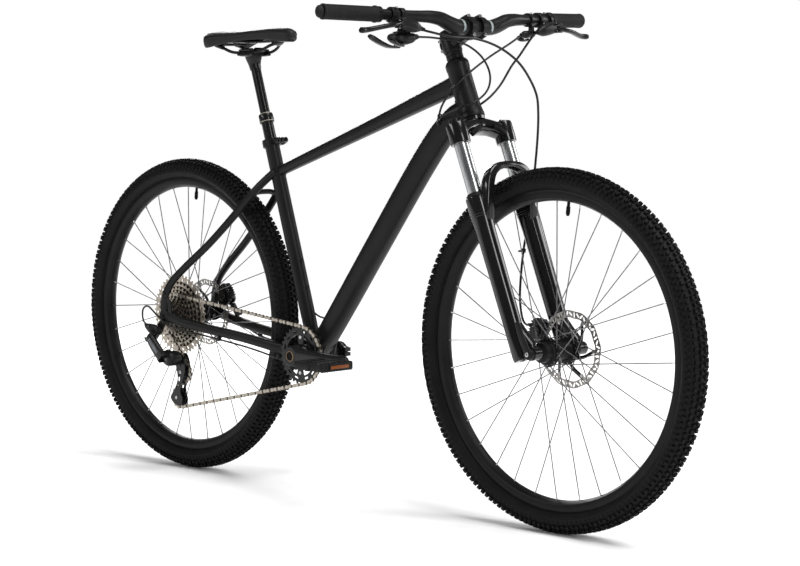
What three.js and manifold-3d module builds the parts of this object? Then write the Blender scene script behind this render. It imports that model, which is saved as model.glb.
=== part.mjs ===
// A hardtail mountain bike: a suspension fork, a dropper seatpost, disc brakes and one chainring.
// Millimetres. +X points forwards, +Y to the rider's left, +Z up.
// The origin is on the ground, midway between the two wheel axles.
import * as THREE from 'three';
import { mergeVertices } from 'three/addons/utils/BufferGeometryUtils.js';
import Module from 'manifold-3d';

const wasm = await Module();
wasm.setup();

const at = (x, y, z) => new THREE.Vector3(x, y, z);
const radians = THREE.MathUtils.degToRad;
const ACROSS = at(0, 1, 0);

// ---------------------------------------------------------------- driving dimensions
const GAP = 0.3;
const WHEELBASE = 1162;
const TYRE_RADIUS = 370;
const REAR_AXLE = at(-WHEELBASE / 2, 0, TYRE_RADIUS);
const FRONT_AXLE = at(WHEELBASE / 2, 0, TYRE_RADIUS);
const WHEEL_STEPS = 36;
const TYRE_HALF_WIDTH = 29;
const RIM_INNER_RADIUS = 301;
const RIM_OUTER_RADIUS = 321;
const RIM_HALF_WIDTH = 15;
const SPOKES_PER_WHEEL = 32;
const SPOKE_RADIUS = 1;
const SPOKE_LAYER = 2.2;
const ROTOR_RADIUS = 80;
const ROTOR_THICKNESS = 1.8;
const FRONT_ROTOR_Y = 40;
const REAR_ROTOR_Y = 51.5;
const FRONT_HUB_HALF = 54.7;
const REAR_HUB_HALF = 73.7;
const AXLE_RADIUS = 7.5;

const HEAD_ANGLE = radians(68.5);
const HEAD_LOW = at(347.5, 0, 835.8);
const HEAD_LENGTH = 120;
const STEERER_RADIUS = 14.3;
const STEERER_WALL = 2;
const FORK_OFFSET = 12;
const LEG_Y = 69;
const STANCHION_RADIUS = 15;
const STANCHION_WALL = 2;
const LEG_TOP = -178;
const LEG_BOTTOM = -523;
const BAR_T = 173.3;
const STEM_REACH = 72;

const BB = at(-136, 0, 308.5);
const BB_HALF = 36.5;
const SEAT_ANGLE = radians(72.8);
const SEAT_TUBE_RADIUS = 16.5;
const SEAT_TUBE_LENGTH = 496;
const POST_RADIUS = 13.6;
const POST_TOP = 550;
const POST_BOTTOM = 300;
const SLIDER_RADIUS = 11.3;
const SLIDER_TOP = 690;
const SLIDER_BOTTOM = 470;

const CRANK_LENGTH = 175;
const SPINDLE_RADIUS = 12;
const CHAIN_PITCH = 12.7;
const CHAIN_LINE = -47.2;
const CHAIN_HALF_WIDTH = 2.6;
const CHAIN_HALF_DEPTH = 3.5;
const RING_TEETH = 32;
const DRIVEN_COG_TEETH = 24;
const PULLEY_TEETH = 12;
const COG_TEETH = [11, 13, 15, 17, 19, 21, 24, 28, 32, 37, 46];
const COG_SPACING = 3.8;
const SMALL_COG_Y = -70;
const GUIDE_PULLEY = at(-550, CHAIN_LINE, 236);
const TENSION_PULLEY = at(-566, CHAIN_LINE, 174);
const HOSE_RADIUS = 2.5;
const CABLE_RADIUS = 2.2;

// The steering axis leans back at the head angle; t runs up it from the foot of the head tube,
// f is the distance in front of it.
const STEER_UP = at(-Math.cos(HEAD_ANGLE), 0, Math.sin(HEAD_ANGLE));
const STEER_FORWARD = at(Math.sin(HEAD_ANGLE), 0, Math.cos(HEAD_ANGLE));
const steer = (t, f = 0, y = 0) =>
  HEAD_LOW.clone().addScaledVector(STEER_UP, t).addScaledVector(STEER_FORWARD, f).addScaledVector(ACROSS, y);

// The seat tube axis starts at the bottom bracket; s runs up it.
const SEAT_UP = at(-Math.cos(SEAT_ANGLE), 0, Math.sin(SEAT_ANGLE));
const SEAT_FORWARD = at(Math.sin(SEAT_ANGLE), 0, Math.cos(SEAT_ANGLE));
const seat = (s, f = 0, y = 0) =>
  BB.clone().addScaledVector(SEAT_UP, s).addScaledVector(SEAT_FORWARD, f).addScaledVector(ACROSS, y);

const pitchRadius = (teeth) => (teeth * CHAIN_PITCH) / (2 * Math.PI);

// ---------------------------------------------------------------- solid tools
function solid(geometry) {
  const bare = geometry.clone();
  bare.deleteAttribute('normal');
  bare.deleteAttribute('uv');
  const merged = mergeVertices(bare, 1e-4);
  const places = merged.attributes.position;
  const corners = [];
  const [a, b, c] = [at(0, 0, 0), at(0, 0, 0), at(0, 0, 0)];
  let volume = 0;
  for (let i = 0; i < merged.index.count; i += 3) {
    const [p, q, r] = [0, 1, 2].map((k) => merged.index.getX(i + k));
    if (p === q || q === r || r === p) continue;
    corners.push([p, q, r]);
    a.fromBufferAttribute(places, p);
    b.fromBufferAttribute(places, q);
    c.fromBufferAttribute(places, r);
    volume += a.dot(b.cross(c));
  }
  const outward = corners.map((corner) => (volume < 0 ? corner.toReversed() : corner));
  return new wasm.Manifold(new wasm.Mesh({
    numProp: 3,
    vertProperties: new Float32Array(places.array),
    triVerts: new Uint32Array(outward.flat()),
  }));
}

const join = (pieces) => pieces.reduce((whole, piece) => whole.add(piece));
const cut = (body, tools) => tools.reduce((whole, tool) => whole.subtract(tool), body);

function rod(from, to, radiusFrom, radiusTo = radiusFrom, sides = 12) {
  const along = to.clone().sub(from);
  const shape = new THREE.CylinderGeometry(radiusTo, radiusFrom, along.length(), sides);
  shape.applyQuaternion(new THREE.Quaternion().setFromUnitVectors(ACROSS, along.clone().normalize()));
  shape.translate(...from.clone().add(to).multiplyScalar(0.5).toArray());
  return solid(shape);
}

const rodAcross = (centre, y0, y1, radius, sides = 12) =>
  rod(at(centre.x, y0, centre.z), at(centre.x, y1, centre.z), radius, radius, sides);

// The same, between two distances out to one side of the middle plane.
const rodOnSide = (centre, side, near, far, radius) =>
  rod(at(centre.x, side * near, centre.z), at(centre.x, side * far, centre.z), radius);

// A closed profile of [radius, height] pairs turned about an axis.
function ring(profile, origin, axis = ACROSS, steps = 18) {
  const points = [...profile, profile[0]].map(([r, h]) => new THREE.Vector2(r, h));
  const shape = new THREE.LatheGeometry(points, steps);
  shape.applyQuaternion(new THREE.Quaternion().setFromUnitVectors(ACROSS, axis));
  shape.translate(origin.x, origin.y, origin.z);
  return solid(shape);
}

function block(centre, size, turn = 0) {
  const shape = new THREE.BoxGeometry(...size);
  shape.rotateY(turn);
  shape.translate(centre.x, centre.y, centre.z);
  return solid(shape);
}

// An outline of [u, v] points with holes, raised to a height.
function raise(outline, holes, depth) {
  const points = outline.map(([u, v]) => new THREE.Vector2(u, v));
  const shape = new THREE.Shape(THREE.ShapeUtils.isClockWise(points) ? points.reverse() : points);
  for (const hole of holes) shape.holes.push(new THREE.Path(hole.map(([u, v]) => new THREE.Vector2(u, v))));
  return new THREE.ExtrudeGeometry(shape, { depth, bevelEnabled: false, steps: 1 });
}

// A flat plate: an outline of [x, z] points, with holes, between two values of y.
function plate(outline, y0, y1, holes = []) {
  const slab = raise(outline, holes, y1 - y0);
  slab.rotateX(Math.PI / 2);
  slab.translate(0, y1, 0);
  return solid(slab);
}

const circle = (x, z, radius, sides = 24) => Array.from({ length: sides }, (_, i) => {
  const angle = (2 * Math.PI * i) / sides;
  return [x + radius * Math.cos(angle), z + radius * Math.sin(angle)];
});

// A round cord or wire along a smooth curve.
function sweep(points, radius, sides, steps) {
  const section = new THREE.Shape(circle(0, 0, radius, sides).map(([x, y]) => new THREE.Vector2(x, y)));
  const path = new THREE.CatmullRomCurve3(points, false, 'centripetal');
  return solid(new THREE.ExtrudeGeometry(section, { steps, bevelEnabled: false, extrudePath: path }));
}

// A closed skin over rings of points, each ring with the same number of points.
function skin(rings) {
  const sides = rings[0].length;
  const places = rings.flat().flatMap((p) => p.toArray());
  const faces = [];
  for (let i = 0; i + 1 < rings.length; i += 1) {
    for (let k = 0; k < sides; k += 1) {
      const [p, q] = [i * sides + k, i * sides + ((k + 1) % sides)];
      faces.push(p, q, p + sides, q, q + sides, p + sides);
    }
  }
  const last = (rings.length - 1) * sides;
  for (let k = 1; k + 1 < sides; k += 1) {
    faces.push(0, k + 1, k, last, last + k, last + k + 1);
  }
  const shape = new THREE.BufferGeometry();
  shape.setAttribute('position', new THREE.BufferAttribute(new Float32Array(places), 3));
  shape.setIndex(faces);
  return solid(shape);
}

// A tube through stations [centre, half width along side, half height], with rounded-square sections.
function tube(stations, side = ACROSS, sides = 12, squareness = 1) {
  const bend = (value) => Math.sign(value) * Math.abs(value) ** squareness;
  return skin(stations.map(([centre, wide, high], i) => {
    const before = stations[Math.max(i - 1, 0)][0];
    const after = stations[Math.min(i + 1, stations.length - 1)][0];
    const along = after.clone().sub(before).normalize();
    const across = side.clone().addScaledVector(along, -side.dot(along)).normalize();
    const up = along.clone().cross(across);
    return Array.from({ length: sides }, (_, k) => {
      const angle = (2 * Math.PI * (k + 0.5)) / sides;
      return centre.clone()
        .addScaledVector(across, wide * bend(Math.cos(angle)))
        .addScaledVector(up, high * bend(Math.sin(angle)));
    });
  }));
}

// ---------------------------------------------------------------- finishes and the group
const bike = new THREE.Group();

const FINISHES = {
  frame_paint: [0x141416, 0.45, 0.2],
  gloss_black: [0x0c0c0e, 0.2, 0.2],
  black_alloy: [0x1a1a1c, 0.4, 0.7],
  silver: [0xc9cace, 0.2, 0.95],
  steel: [0x9d9a94, 0.35, 0.9],
  nickel: [0x9a9184, 0.4, 0.85],
  rubber: [0x1c1c1d, 0.85, 0],
  plastic: [0x131314, 0.5, 0],
  leather: [0x161617, 0.6, 0],
};

function add(name, body, finish) {
  const mesh = body.getMesh();
  const geometry = new THREE.BufferGeometry();
  geometry.setAttribute('position', new THREE.BufferAttribute(new Float32Array(mesh.vertProperties), 3));
  geometry.setIndex(new THREE.BufferAttribute(new Uint32Array(mesh.triVerts), 1));
  geometry.computeVertexNormals();
  const [color, roughness, metalness] = FINISHES[finish];
  const piece = new THREE.Mesh(geometry, new THREE.MeshStandardMaterial({ color, roughness, metalness }));
  piece.name = name;
  bike.add(piece);
}

// ---------------------------------------------------------------- cables and hoses
const SHIFT_CABLE = [
  [339, -149, 1001], [334, -112, 1001], [333, -80, 999], [342, -50, 995], [356, -22, 985], [367, 10, 960],
  [379, 19, 927], [383, 10, 898], [378, -10, 877], [368, -30, 866], [346, -42, 858], [308, -37, 846],
  [284, -29, 837], [260, -18, 814], [225, -12, 765], [150, -10, 668], [0, -8, 478], [-68, -8, 374],
  [-94, -14, 322], [-118, -24, 281], [-150, -34, 276], [-205, -46, 293], [-300, -55, 312], [-420, -66, 328],
  [-520, -79, 341], [-565, -86, 352], [-600, -88, 372], [-632, -89, 390], [-650, -88, 382], [-653, -88, 365],
  [-646, -89, 351.5], [-633.5, -90, 345.2],
];
const DROPPER_CABLE = [
  [358, 136, 1009], [360, 120, 1001], [356, 104, 991], [342, 65, 967], [340, 30, 948], [341, 4, 934],
  [336, -26, 912], [321, -38, 893], [306, -39, 874], [288, -32, 858], [268, -20, 836], [235, -4, 792],
  [150, 0, 684], [20, 0, 520], [-40, 0, 446], [-64, 0, 410], [-88, 0, 393], [-122, 0, 392], [-150, 0, 404],
  [-167, 0, 426], [-180, 0, 452], [-195, 0, 500], [-210, 0, 547], [-223.5, 0, 591],
];
const REAR_HOSE = [
  [370, 183, 1018], [371, 170, 1014], [368, 160, 1004], [360, 152, 988], [349, 142, 966], [341, 128, 946],
  [338, 95, 905],
  [334, 64, 878], [322, 45, 862], [302, 36, 848], [282, 28, 834], [260, 18, 812], [225, 9, 764],
  [145, 8, 666], [0, 8, 478], [-68, 10, 374], [-92, 16, 322], [-116, 25, 281], [-150, 34, 276],
  [-210, 46, 294], [-300, 54, 311], [-400, 62, 325], [-450, 65, 342], [-478, 63, 364], [-492, 58, 387],
];
const FRONT_HOSE = [
  [366, -183, 1017], [374, -150, 1010], [391, -100, 1000], [414, -60, 997], [438, -20, 981], [456, 20, 951],
  [463, 50, 914], [463, 70, 881], [458, 80, 850], [450, 88, 808], [436, 95, 734], [424, 97, 670], [416, 95, 615],
  [409, 90, 563], [407, 84, 511], [413, 74, 459], [430, 62, 424], [452, 48, 412], [478, 38, 411],
];
const route = (points) => points.map((p) => at(...p));
const cord = (points, radius, steps, sides = 8) => sweep(route(points), radius, sides, steps);
const SHIFT_STEPS = 38;
const DROPPER_STEPS = 36;
const REAR_HOSE_STEPS = 42;
const FRONT_HOSE_STEPS = 32;

// ---------------------------------------------------------------- frame
const mirror = (side, points) => points.map(([x, y, z, wide, high]) => [at(x, side * y, z), wide, high]);

function headTube() {
  return ring([[13, 0], [27, 0], [27, 8], [24.5, 34], [24, HEAD_LENGTH], [13, HEAD_LENGTH]], HEAD_LOW, STEER_UP);
}

const TOP_TUBE = [
  [at(-262, 0, 712), 11, 11], [at(-190, 0, 737), 13, 12], [at(60, 0, 822), 16, 15], [at(230, 0, 881), 18, 18.5],
  [at(306, 0, 907), 19, 21],
];
const DOWN_TUBE = [
  [at(346, 0, 866), 20, 20], [at(300, 0, 838), 22, 25], [at(258, 0, 800), 24, 27], [at(205, 0, 740), 25, 27],
  [at(60, 0, 555), 25, 26], [at(-90, 0, 362), 25, 25],
];
const DOWN_TUBE_FOOT = [at(-124, 0, 322), 26, 20];
const TUBE_WALL = 2.2;
const frameTube = (stations) => tube(stations, ACROSS, 12, 0.8);
const hollow = (stations) => frameTube(stations.map(([p, wide, high]) => [p, wide - TUBE_WALL, high - TUBE_WALL]));

function mainTubes() {
  const topTube = frameTube(TOP_TUBE);
  const downTube = frameTube([...DOWN_TUBE, DOWN_TUBE_FOOT]);
  const seatTube = rod(seat(0), seat(SEAT_TUBE_LENGTH), SEAT_TUBE_RADIUS);
  const shell = rod(at(BB.x, -BB_HALF, BB.z), at(BB.x, BB_HALF, BB.z), 22, 22, 16);
  return [topTube, downTube, seatTube, shell];
}

function stays(side) {
  const chainstay = tube(mirror(side, [
    [-128, 22, 303, 9, 13], [-178, 35.5, 311, 6.5, 13], [-207, 38.3, 316, 6, 12.5], [-245, 45, 323, 7.5, 12],
    [-330, 52, 335, 8.5, 11.5], [-430, 62, 346, 8.5, 11.5], [-520, 71.5, 358, 8, 11.5],
    [-560, 78, 366, 3.4, 14], [-575, 78, 368, 3.4, 14],
  ]), ACROSS, 12, 0.85);
  const seatstay = tube(mirror(side, [
    [-257, 14, 712, 7, 9], [-300, 37, 671, 7.5, 9], [-356, 46, 617, 7.5, 9], [-440, 56, 545, 7.5, 8.5],
    [-520, 66, 485, 7.5, 8.5], [-560, 72, 450, 7, 9], [-582, 77, 416, 5, 11], [-586, 78, 374, 3.4, 13],
  ]), ACROSS, 12, 0.85);
  const dropout = plate(circle(REAR_AXLE.x, REAR_AXLE.z, 15, 16), side > 0 ? 74.4 : -81.5, side > 0 ? 81.5 : -74.4);
  return [chainstay, seatstay, dropout];
}

function frame() {
  const bridge = rod(at(-313, -40, 663), at(-313, 40, 663), 7, 7, 12);
  const yoke = block(at(-176, 0, 306), [16, 62, 14], 0);
  const hanger = plate([[-574, 362], [-588, 362], [-607, 346], [-612, 334], [-606, 324], [-595, 324], [-588, 338]],
    -81.5, -74.4);
  const body = join([headTube(), ...mainTubes(), ...stays(1), ...stays(-1), bridge, yoke, hanger]);
  const channel = (points, radius, steps) => cord(points, radius + 1, steps, 6);
  return cut(body, [
    rod(steer(-5), steer(HEAD_LENGTH + 5), STEERER_RADIUS + 0.8, STEERER_RADIUS + 0.8, 16),
    rod(seat(24), seat(SEAT_TUBE_LENGTH + 5), POST_RADIUS + GAP),
    hollow(TOP_TUBE),
    hollow(DOWN_TUBE),
    rod(at(BB.x, -BB_HALF - 5, BB.z), at(BB.x, BB_HALF + 5, BB.z), 17.4, 17.4, 16),
    rod(at(BB.x, BB_HALF, BB.z), at(BB.x, BB_HALF + 10, BB.z), 22, 22, 16),
    rod(at(BB.x, -BB_HALF, BB.z), at(BB.x, -BB_HALF - 10, BB.z), 22, 22, 16),
    rodAcross(REAR_AXLE, -90, 90, AXLE_RADIUS + GAP),
    channel(SHIFT_CABLE, CABLE_RADIUS, SHIFT_STEPS),
    channel(DROPPER_CABLE, CABLE_RADIUS, DROPPER_STEPS),
    channel(REAR_HOSE, HOSE_RADIUS, REAR_HOSE_STEPS),
  ]);
}

add('frame', frame(), 'frame_paint');

// ---------------------------------------------------------------- bottom bracket, seat clamp, rear axle
function bottomBracket() {
  const cup = (side) => rod(at(BB.x, side * (BB_HALF + GAP), BB.z), at(BB.x, side * 44, BB.z), 21, 21, 16);
  const sleeve = rodAcross(BB, -44, 44, 17, 16);
  const body = join([cup(1), cup(-1), sleeve]);
  return cut(body, [rodAcross(BB, -50, 50, SPINDLE_RADIUS + 0.5, 16)]);
}

function seatClamp() {
  const low = SEAT_TUBE_LENGTH - 12;
  const collar = rod(seat(low), seat(SEAT_TUBE_LENGTH + 3), 21);
  const ears = tube([[seat(low + 7, 14), 9, 6.5], [seat(low + 7, 36), 9, 6.5]], ACROSS, 8);
  const bore = rod(seat(low - 5), seat(SEAT_TUBE_LENGTH + GAP), SEAT_TUBE_RADIUS + GAP);
  const top = rod(seat(SEAT_TUBE_LENGTH), seat(SEAT_TUBE_LENGTH + 8), POST_RADIUS + 0.6);
  const split = tube([[seat(low + 7, 10), 1.5, 14], [seat(low + 7, 44), 1.5, 14]], ACROSS, 4);
  return cut(collar.add(ears), [bore, top, split]);
}

function rearAxle() {
  const shaft = rodAcross(REAR_AXLE, -82, 88, AXLE_RADIUS);
  const head = rodAcross(REAR_AXLE, 81.5 + GAP, 88, 11);
  return shaft.add(head);
}

// A brake caliper astride the rotor's edge, in the direction (dx, dz) from the axle.
function caliper(axle, [dx, dz], rotorY, yLow, yHigh) {
  const tilt = Math.atan2(dx, dz);
  const out = (distance, y) => at(axle.x + dx * distance, y, axle.z + dz * distance);
  const body = block(out(88, (yLow + yHigh) / 2), [50, yHigh - yLow, 40], tilt);
  const piston = rod(out(92, yHigh - 4), out(92, yHigh + 9), 11);
  const slot = block(out(61, rotorY + ROTOR_THICKNESS / 2), [90, 5, 46], tilt);
  return cut(body.add(piston), [slot]);
}

add('bottom_bracket', bottomBracket(), 'black_alloy');
add('seat_clamp', seatClamp(), 'black_alloy');
add('rear_axle', rearAxle(), 'black_alloy');

// ---------------------------------------------------------------- wheels
const WHEELS = {
  front: { axle: FRONT_AXLE, flanges: [-28, 28], flangeRadius: 27, rotorY: FRONT_ROTOR_Y },
  rear: { axle: REAR_AXLE, flanges: [-19, 34], flangeRadius: 28, rotorY: REAR_ROTOR_Y },
};

function tyre(axle) {
  const half = [
    [RIM_OUTER_RADIUS + 0.6, 14], [342, TYRE_HALF_WIDTH - 1], [360, 26], [TYRE_RADIUS, 12],
  ];
  const inner = [[RIM_OUTER_RADIUS + 0.6, 11.4], [342, 25.2], [358.5, 22], [365, 8]];
  const flip = (points) => points.map(([r, y]) => [r, -y]).reverse();
  const profile = [...half, ...flip(half), ...flip(inner).toReversed(), ...inner.toReversed()];
  return ring(profile, axle, ACROSS, WHEEL_STEPS);
}

function rim(axle) {
  const half = [[RIM_INNER_RADIUS, 7], [309, RIM_HALF_WIDTH], [RIM_OUTER_RADIUS, RIM_HALF_WIDTH],
    [RIM_OUTER_RADIUS, 12.4], [310, 12], [304, 5]];
  const flip = half.map(([r, y]) => [r, -y]).reverse();
  return ring([...half, ...flip], axle, ACROSS, WHEEL_STEPS);
}

// Three-cross lacing, with a thin hoop of nipple seats inside the rim that holds the spokes together.
function spokes({ axle, flanges, flangeRadius }) {
  const hoopRadius = RIM_INNER_RADIUS - 0.6;
  const hoop = ring([[hoopRadius - 1.6, -1.5], [hoopRadius, -1.5], [hoopRadius, 1.5], [hoopRadius - 1.6, 1.5]],
    axle, ACROSS, WHEEL_STEPS);
  const rods = Array.from({ length: SPOKES_PER_WHEEL }, (_, i) => {
    const lead = Math.floor(i / 2) % 2 ? 1 : -1;
    const rimAngle = (2 * Math.PI * i) / SPOKES_PER_WHEEL;
    const hubAngle = rimAngle + lead * radians(67.5);
    const flange = flanges[i % 2];
    const place = (radius, angle, y) =>
      at(axle.x + radius * Math.cos(angle), y, axle.z + radius * Math.sin(angle));
    const inner = place(flangeRadius + 1.2, hubAngle, flange + lead * SPOKE_LAYER);
    const outer = place(hoopRadius - 1.2, rimAngle, 0);
    return rod(inner, outer, SPOKE_RADIUS, SPOKE_RADIUS, 3);
  });
  return join([hoop, ...rods]);
}

function hub({ axle, flanges: [low, high], flangeRadius: flange, rotorY }, half, lowEnd) {
  const bore = AXLE_RADIUS + 0.6;
  return ring([
    [bore, lowEnd], [12, lowEnd], [12, low - 3], [flange, low - 2], [flange, low + 2], [15, low + 7],
    [15, high - 7], [flange, high - 2], [flange, high + 2], [22, high + 4], [22, rotorY - GAP],
    [12, rotorY - GAP], [12, half], [bore, half],
  ], axle, ACROSS, 16);
}

function rotor({ axle, rotorY }) {
  const windows = Array.from({ length: 6 }, (_, i) => {
    const start = (Math.PI * i) / 3;
    const corner = (radius, turn) => {
      const angle = start + radians(turn);
      return [axle.x + radius * Math.cos(angle), axle.z + radius * Math.sin(angle)];
    };
    return [corner(30, 8), corner(64, 22), corner(65, 37), corner(64, 52), corner(64, 68), corner(30, 52)];
  });
  const holes = [circle(axle.x, axle.z, 12.5, 20), ...windows];
  return plate(circle(axle.x, axle.z, ROTOR_RADIUS, 36), rotorY, rotorY + ROTOR_THICKNESS, holes);
}

for (const [name, wheel] of Object.entries(WHEELS)) {
  add(`${name}_tyre`, tyre(wheel.axle), 'rubber');
  add(`${name}_rim`, rim(wheel.axle), 'gloss_black');
  add(`${name}_spokes`, spokes(wheel), 'steel');
  add(`${name}_rotor`, rotor(wheel), 'steel');
}
add('front_hub', hub(WHEELS.front, FRONT_HUB_HALF, -FRONT_HUB_HALF), 'black_alloy');
add('rear_hub', hub(WHEELS.rear, REAR_HUB_HALF, -24), 'black_alloy');

// ---------------------------------------------------------------- cassette, chain, cranks
function cassette() {
  const steps = COG_TEETH.flatMap((teeth, i) => {
    const outer = SMALL_COG_Y + i * COG_SPACING - 0.9;
    const inner = i + 1 < COG_TEETH.length ? outer + COG_SPACING : outer + 1.8;
    const radius = pitchRadius(teeth) - CHAIN_HALF_DEPTH - 0.5;
    return [[radius, outer], [radius, inner]];
  });
  const bore = AXLE_RADIUS + 0.8;
  const bigEnd = steps.at(-1)[1];
  return ring([[bore, SMALL_COG_Y - 3], [13, SMALL_COG_Y - 3], [13, SMALL_COG_Y - 0.9], ...steps, [17, bigEnd],
    [17, bigEnd + 2], [bore, bigEnd + 2]], REAR_AXLE, ACROSS, 14);
}

// The line of a chain round its wheels. Each wheel turns clockwise (-1) or anticlockwise (+1), seen from the
// drive side.
function chainLoop() {
  const wheels = [
    { centre: REAR_AXLE, radius: pitchRadius(DRIVEN_COG_TEETH), sense: -1 },
    { centre: BB, radius: pitchRadius(RING_TEETH), sense: -1 },
    { centre: TENSION_PULLEY, radius: pitchRadius(PULLEY_TEETH), sense: -1 },
    { centre: GUIDE_PULLEY, radius: pitchRadius(PULLEY_TEETH), sense: 1 },
  ];
  const headings = wheels.map((wheel, i) => {
    const next = wheels[(i + 1) % wheels.length];
    const [dx, dz] = [next.centre.x - wheel.centre.x, next.centre.z - wheel.centre.z];
    const lean = Math.asin((wheel.sense * wheel.radius - next.sense * next.radius) / Math.hypot(dx, dz));
    return Math.atan2(dz, dx) + lean;
  });
  const points = [];
  wheels.forEach(({ centre, radius, sense }, i) => {
    const arrive = headings[(i + wheels.length - 1) % wheels.length];
    const turn = sense * THREE.MathUtils.euclideanModulo(sense * (headings[i] - arrive), 2 * Math.PI);
    const steps = Math.max(3, Math.ceil(Math.abs(turn) / 0.3));
    for (let k = 0; k <= steps; k += 1) {
      const heading = arrive + (turn * k) / steps;
      const [nx, nz] = [sense * Math.sin(heading), -sense * Math.cos(heading)];
      points.push({ x: centre.x + radius * nx, z: centre.z + radius * nz, heading });
    }
  });
  return points;
}

function chain() {
  const offset = (depth) => chainLoop().map(({ x, z, heading }) =>
    [x - depth * Math.sin(heading), z + depth * Math.cos(heading)]);
  return plate(offset(CHAIN_HALF_DEPTH), CHAIN_LINE - CHAIN_HALF_WIDTH, CHAIN_LINE + CHAIN_HALF_WIDTH,
    [offset(-CHAIN_HALF_DEPTH)]);
}

function chainring() {
  const outer = pitchRadius(RING_TEETH) - CHAIN_HALF_DEPTH - 1.2;
  const windows = Array.from({ length: 5 }, (_, i) => {
    const corner = (radius, turn) => {
      const angle = radians(72 * i + turn);
      return [BB.x + radius * Math.cos(angle), BB.z + radius * Math.sin(angle)];
    };
    return [corner(26, 14), corner(50, 9), corner(51, 24), corner(51, 42), corner(50, 57), corner(26, 52)];
  });
  const disc = plate(circle(BB.x, BB.z, outer, 32), CHAIN_LINE - 1, CHAIN_LINE + 1, windows);
  const centre = rodAcross(BB, -57, CHAIN_LINE + 1, 20, 16);
  return cut(disc.add(centre), [rodAcross(BB, -60, -40, SPINDLE_RADIUS + GAP, 16)]);
}

function crankArm(side) {
  const tipX = BB.x - side * CRANK_LENGTH;
  const arm = tube([
    [at(BB.x + side * 14, side * 68, BB.z), 8, 17], [at(BB.x, side * 69.5, BB.z), 9, 19],
    [at(BB.x - side * 30, side * 72, BB.z), 8, 15], [at(BB.x - side * 140, side * 79, BB.z), 6.5, 11.5],
    [at(tipX - side * 4, side * 81, BB.z), 7, 13], [at(tipX - side * 14, side * 81, BB.z), 6, 8],
  ], ACROSS, 12, 0.75);
  const pedalPin = rodOnSide(at(tipX, 0, BB.z), side, 82, 187, 6);
  return arm.add(pedalPin);
}

function crankArmRight() {
  const boss = rodAcross(BB, -80, -57.4, 19, 16);
  const spindle = rodAcross(BB, -70, 80, SPINDLE_RADIUS, 16);
  return cut(join([crankArm(-1), boss, spindle]), [rodAcross(BB, -90, 90, 9.5, 16)]);
}

function crankArmLeft() {
  const boss = rodAcross(BB, 60, 80, 19, 16);
  const pinch = block(at(BB.x + 19, 70, BB.z), [18, 18, 20]);
  const slot = block(at(BB.x + 22, 70, BB.z), [24, 30, 2]);
  const body = cut(join([crankArm(1), boss, pinch]), [slot, rodAcross(BB, 50, 90, SPINDLE_RADIUS + GAP, 16)]);
  return body;
}

function pedal(side) {
  const x = BB.x - side * CRANK_LENGTH;
  const outline = [[-46, 95], [-40, 92], [40, 92], [46, 95], [46, 180], [38, 188], [-38, 188], [-46, 180]];
  const window = (low, high) => [[low, 102], [high, 103.5], [high, 176.5], [low, 178]];
  const onSide = (points) => points.map(([px, py]) => [px, side * py]);
  const slab = raise(onSide(outline), [onSide(window(-38, -12)), onSide(window(12, 38))], 20);
  slab.translate(x, 0, BB.z - 10);
  const barrel = rodOnSide(at(x, 0, BB.z), side, 92, 190, 11);
  const bore = rodOnSide(at(x, 0, BB.z), side, 90, 187.5, 6.5);
  return cut(join([solid(slab), barrel]), [bore]);
}

add('cassette', cassette(), 'nickel');
add('chain', chain(), 'nickel');
add('chainring', chainring(), 'black_alloy');
add('crank_arm_right', crankArmRight(), 'gloss_black');
add('crank_arm_left', crankArmLeft(), 'gloss_black');
add('pedal_right', pedal(-1), 'plastic');
add('pedal_left', pedal(1), 'plastic');

// ---------------------------------------------------------------- rear derailleur
const HANGER_BOLT = at(-601, 0, 334);
const KNUCKLE = at(-555, 0, 270);
const LINK_FROM = at(-606, -96, 322);
const LINK_TO = at(-560, -96, 276);
const LINK_LEAN = radians(45);
const LINK_AXIS = at(Math.sin(LINK_LEAN), 0, Math.cos(LINK_LEAN));

// A clevis that holds one end of the link, its ears standing outboard on either side of the link.
function clevis(end) {
  const back = block(at(end.x, -89.5, end.z), [16, 11, 29.4], LINK_LEAN);
  const ears = [-1, 1].map((side) =>
    block(at(end.x, -101, end.z).addScaledVector(LINK_AXIS, side * 13.2), [12, 22, 3], LINK_LEAN));
  return join([back, ...ears]);
}

function derailleurBody() {
  const bolt = rodAcross(HANGER_BOLT, -98, -81.8, 10);
  const knuckle = block(at(-614, -92, 338), [40, 12, 22], radians(20));
  return join([bolt, knuckle, clevis(LINK_FROM)]);
}

function derailleurLink() {
  const direction = LINK_TO.clone().sub(LINK_FROM).normalize();
  const from = LINK_FROM.clone().addScaledVector(direction, 2);
  const to = LINK_TO.clone().addScaledVector(direction, -2);
  return tube([[at(from.x, -106, from.z), 4, 9], [at(to.x, -106, to.z), 4, 11]], ACROSS, 8, 0.7);
}

function derailleurKnuckle() {
  const drum = rodAcross(KNUCKLE, -97, -62, 15);
  return drum.add(clevis(LINK_TO));
}

function derailleurCage() {
  const outline = [[-566, 276], [-548, 280], [-536, 262], [-534, 236], [-552, 190], [-552, 166], [-560, 158],
    [-574, 160], [-582, 174], [-572, 192], [-562, 226], [-566, 250]];
  const outer = plate(outline, -57.5, -55, [circle(-559, 212, 4, 8)]);
  const inner = plate(outline, -41.5, -39, [circle(-559, 212, 4, 8)]);
  const pivot = rodAcross(KNUCKLE, -61.7, -55, 12);
  const pin = (pulley) => rodAcross(pulley, -57, -39.5, 3, 10);
  return join([outer, inner, pivot, pin(GUIDE_PULLEY), pin(TENSION_PULLEY)]);
}

function pulley(centre) {
  const radius = pitchRadius(PULLEY_TEETH) - CHAIN_HALF_DEPTH - 0.5;
  return ring([[3.5, -4], [9, -4], [9, -1.2], [radius, -1.2], [radius, 1.2], [9, 1.2], [9, 4], [3.5, 4]],
    at(centre.x, CHAIN_LINE, centre.z), ACROSS, 16);
}

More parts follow.
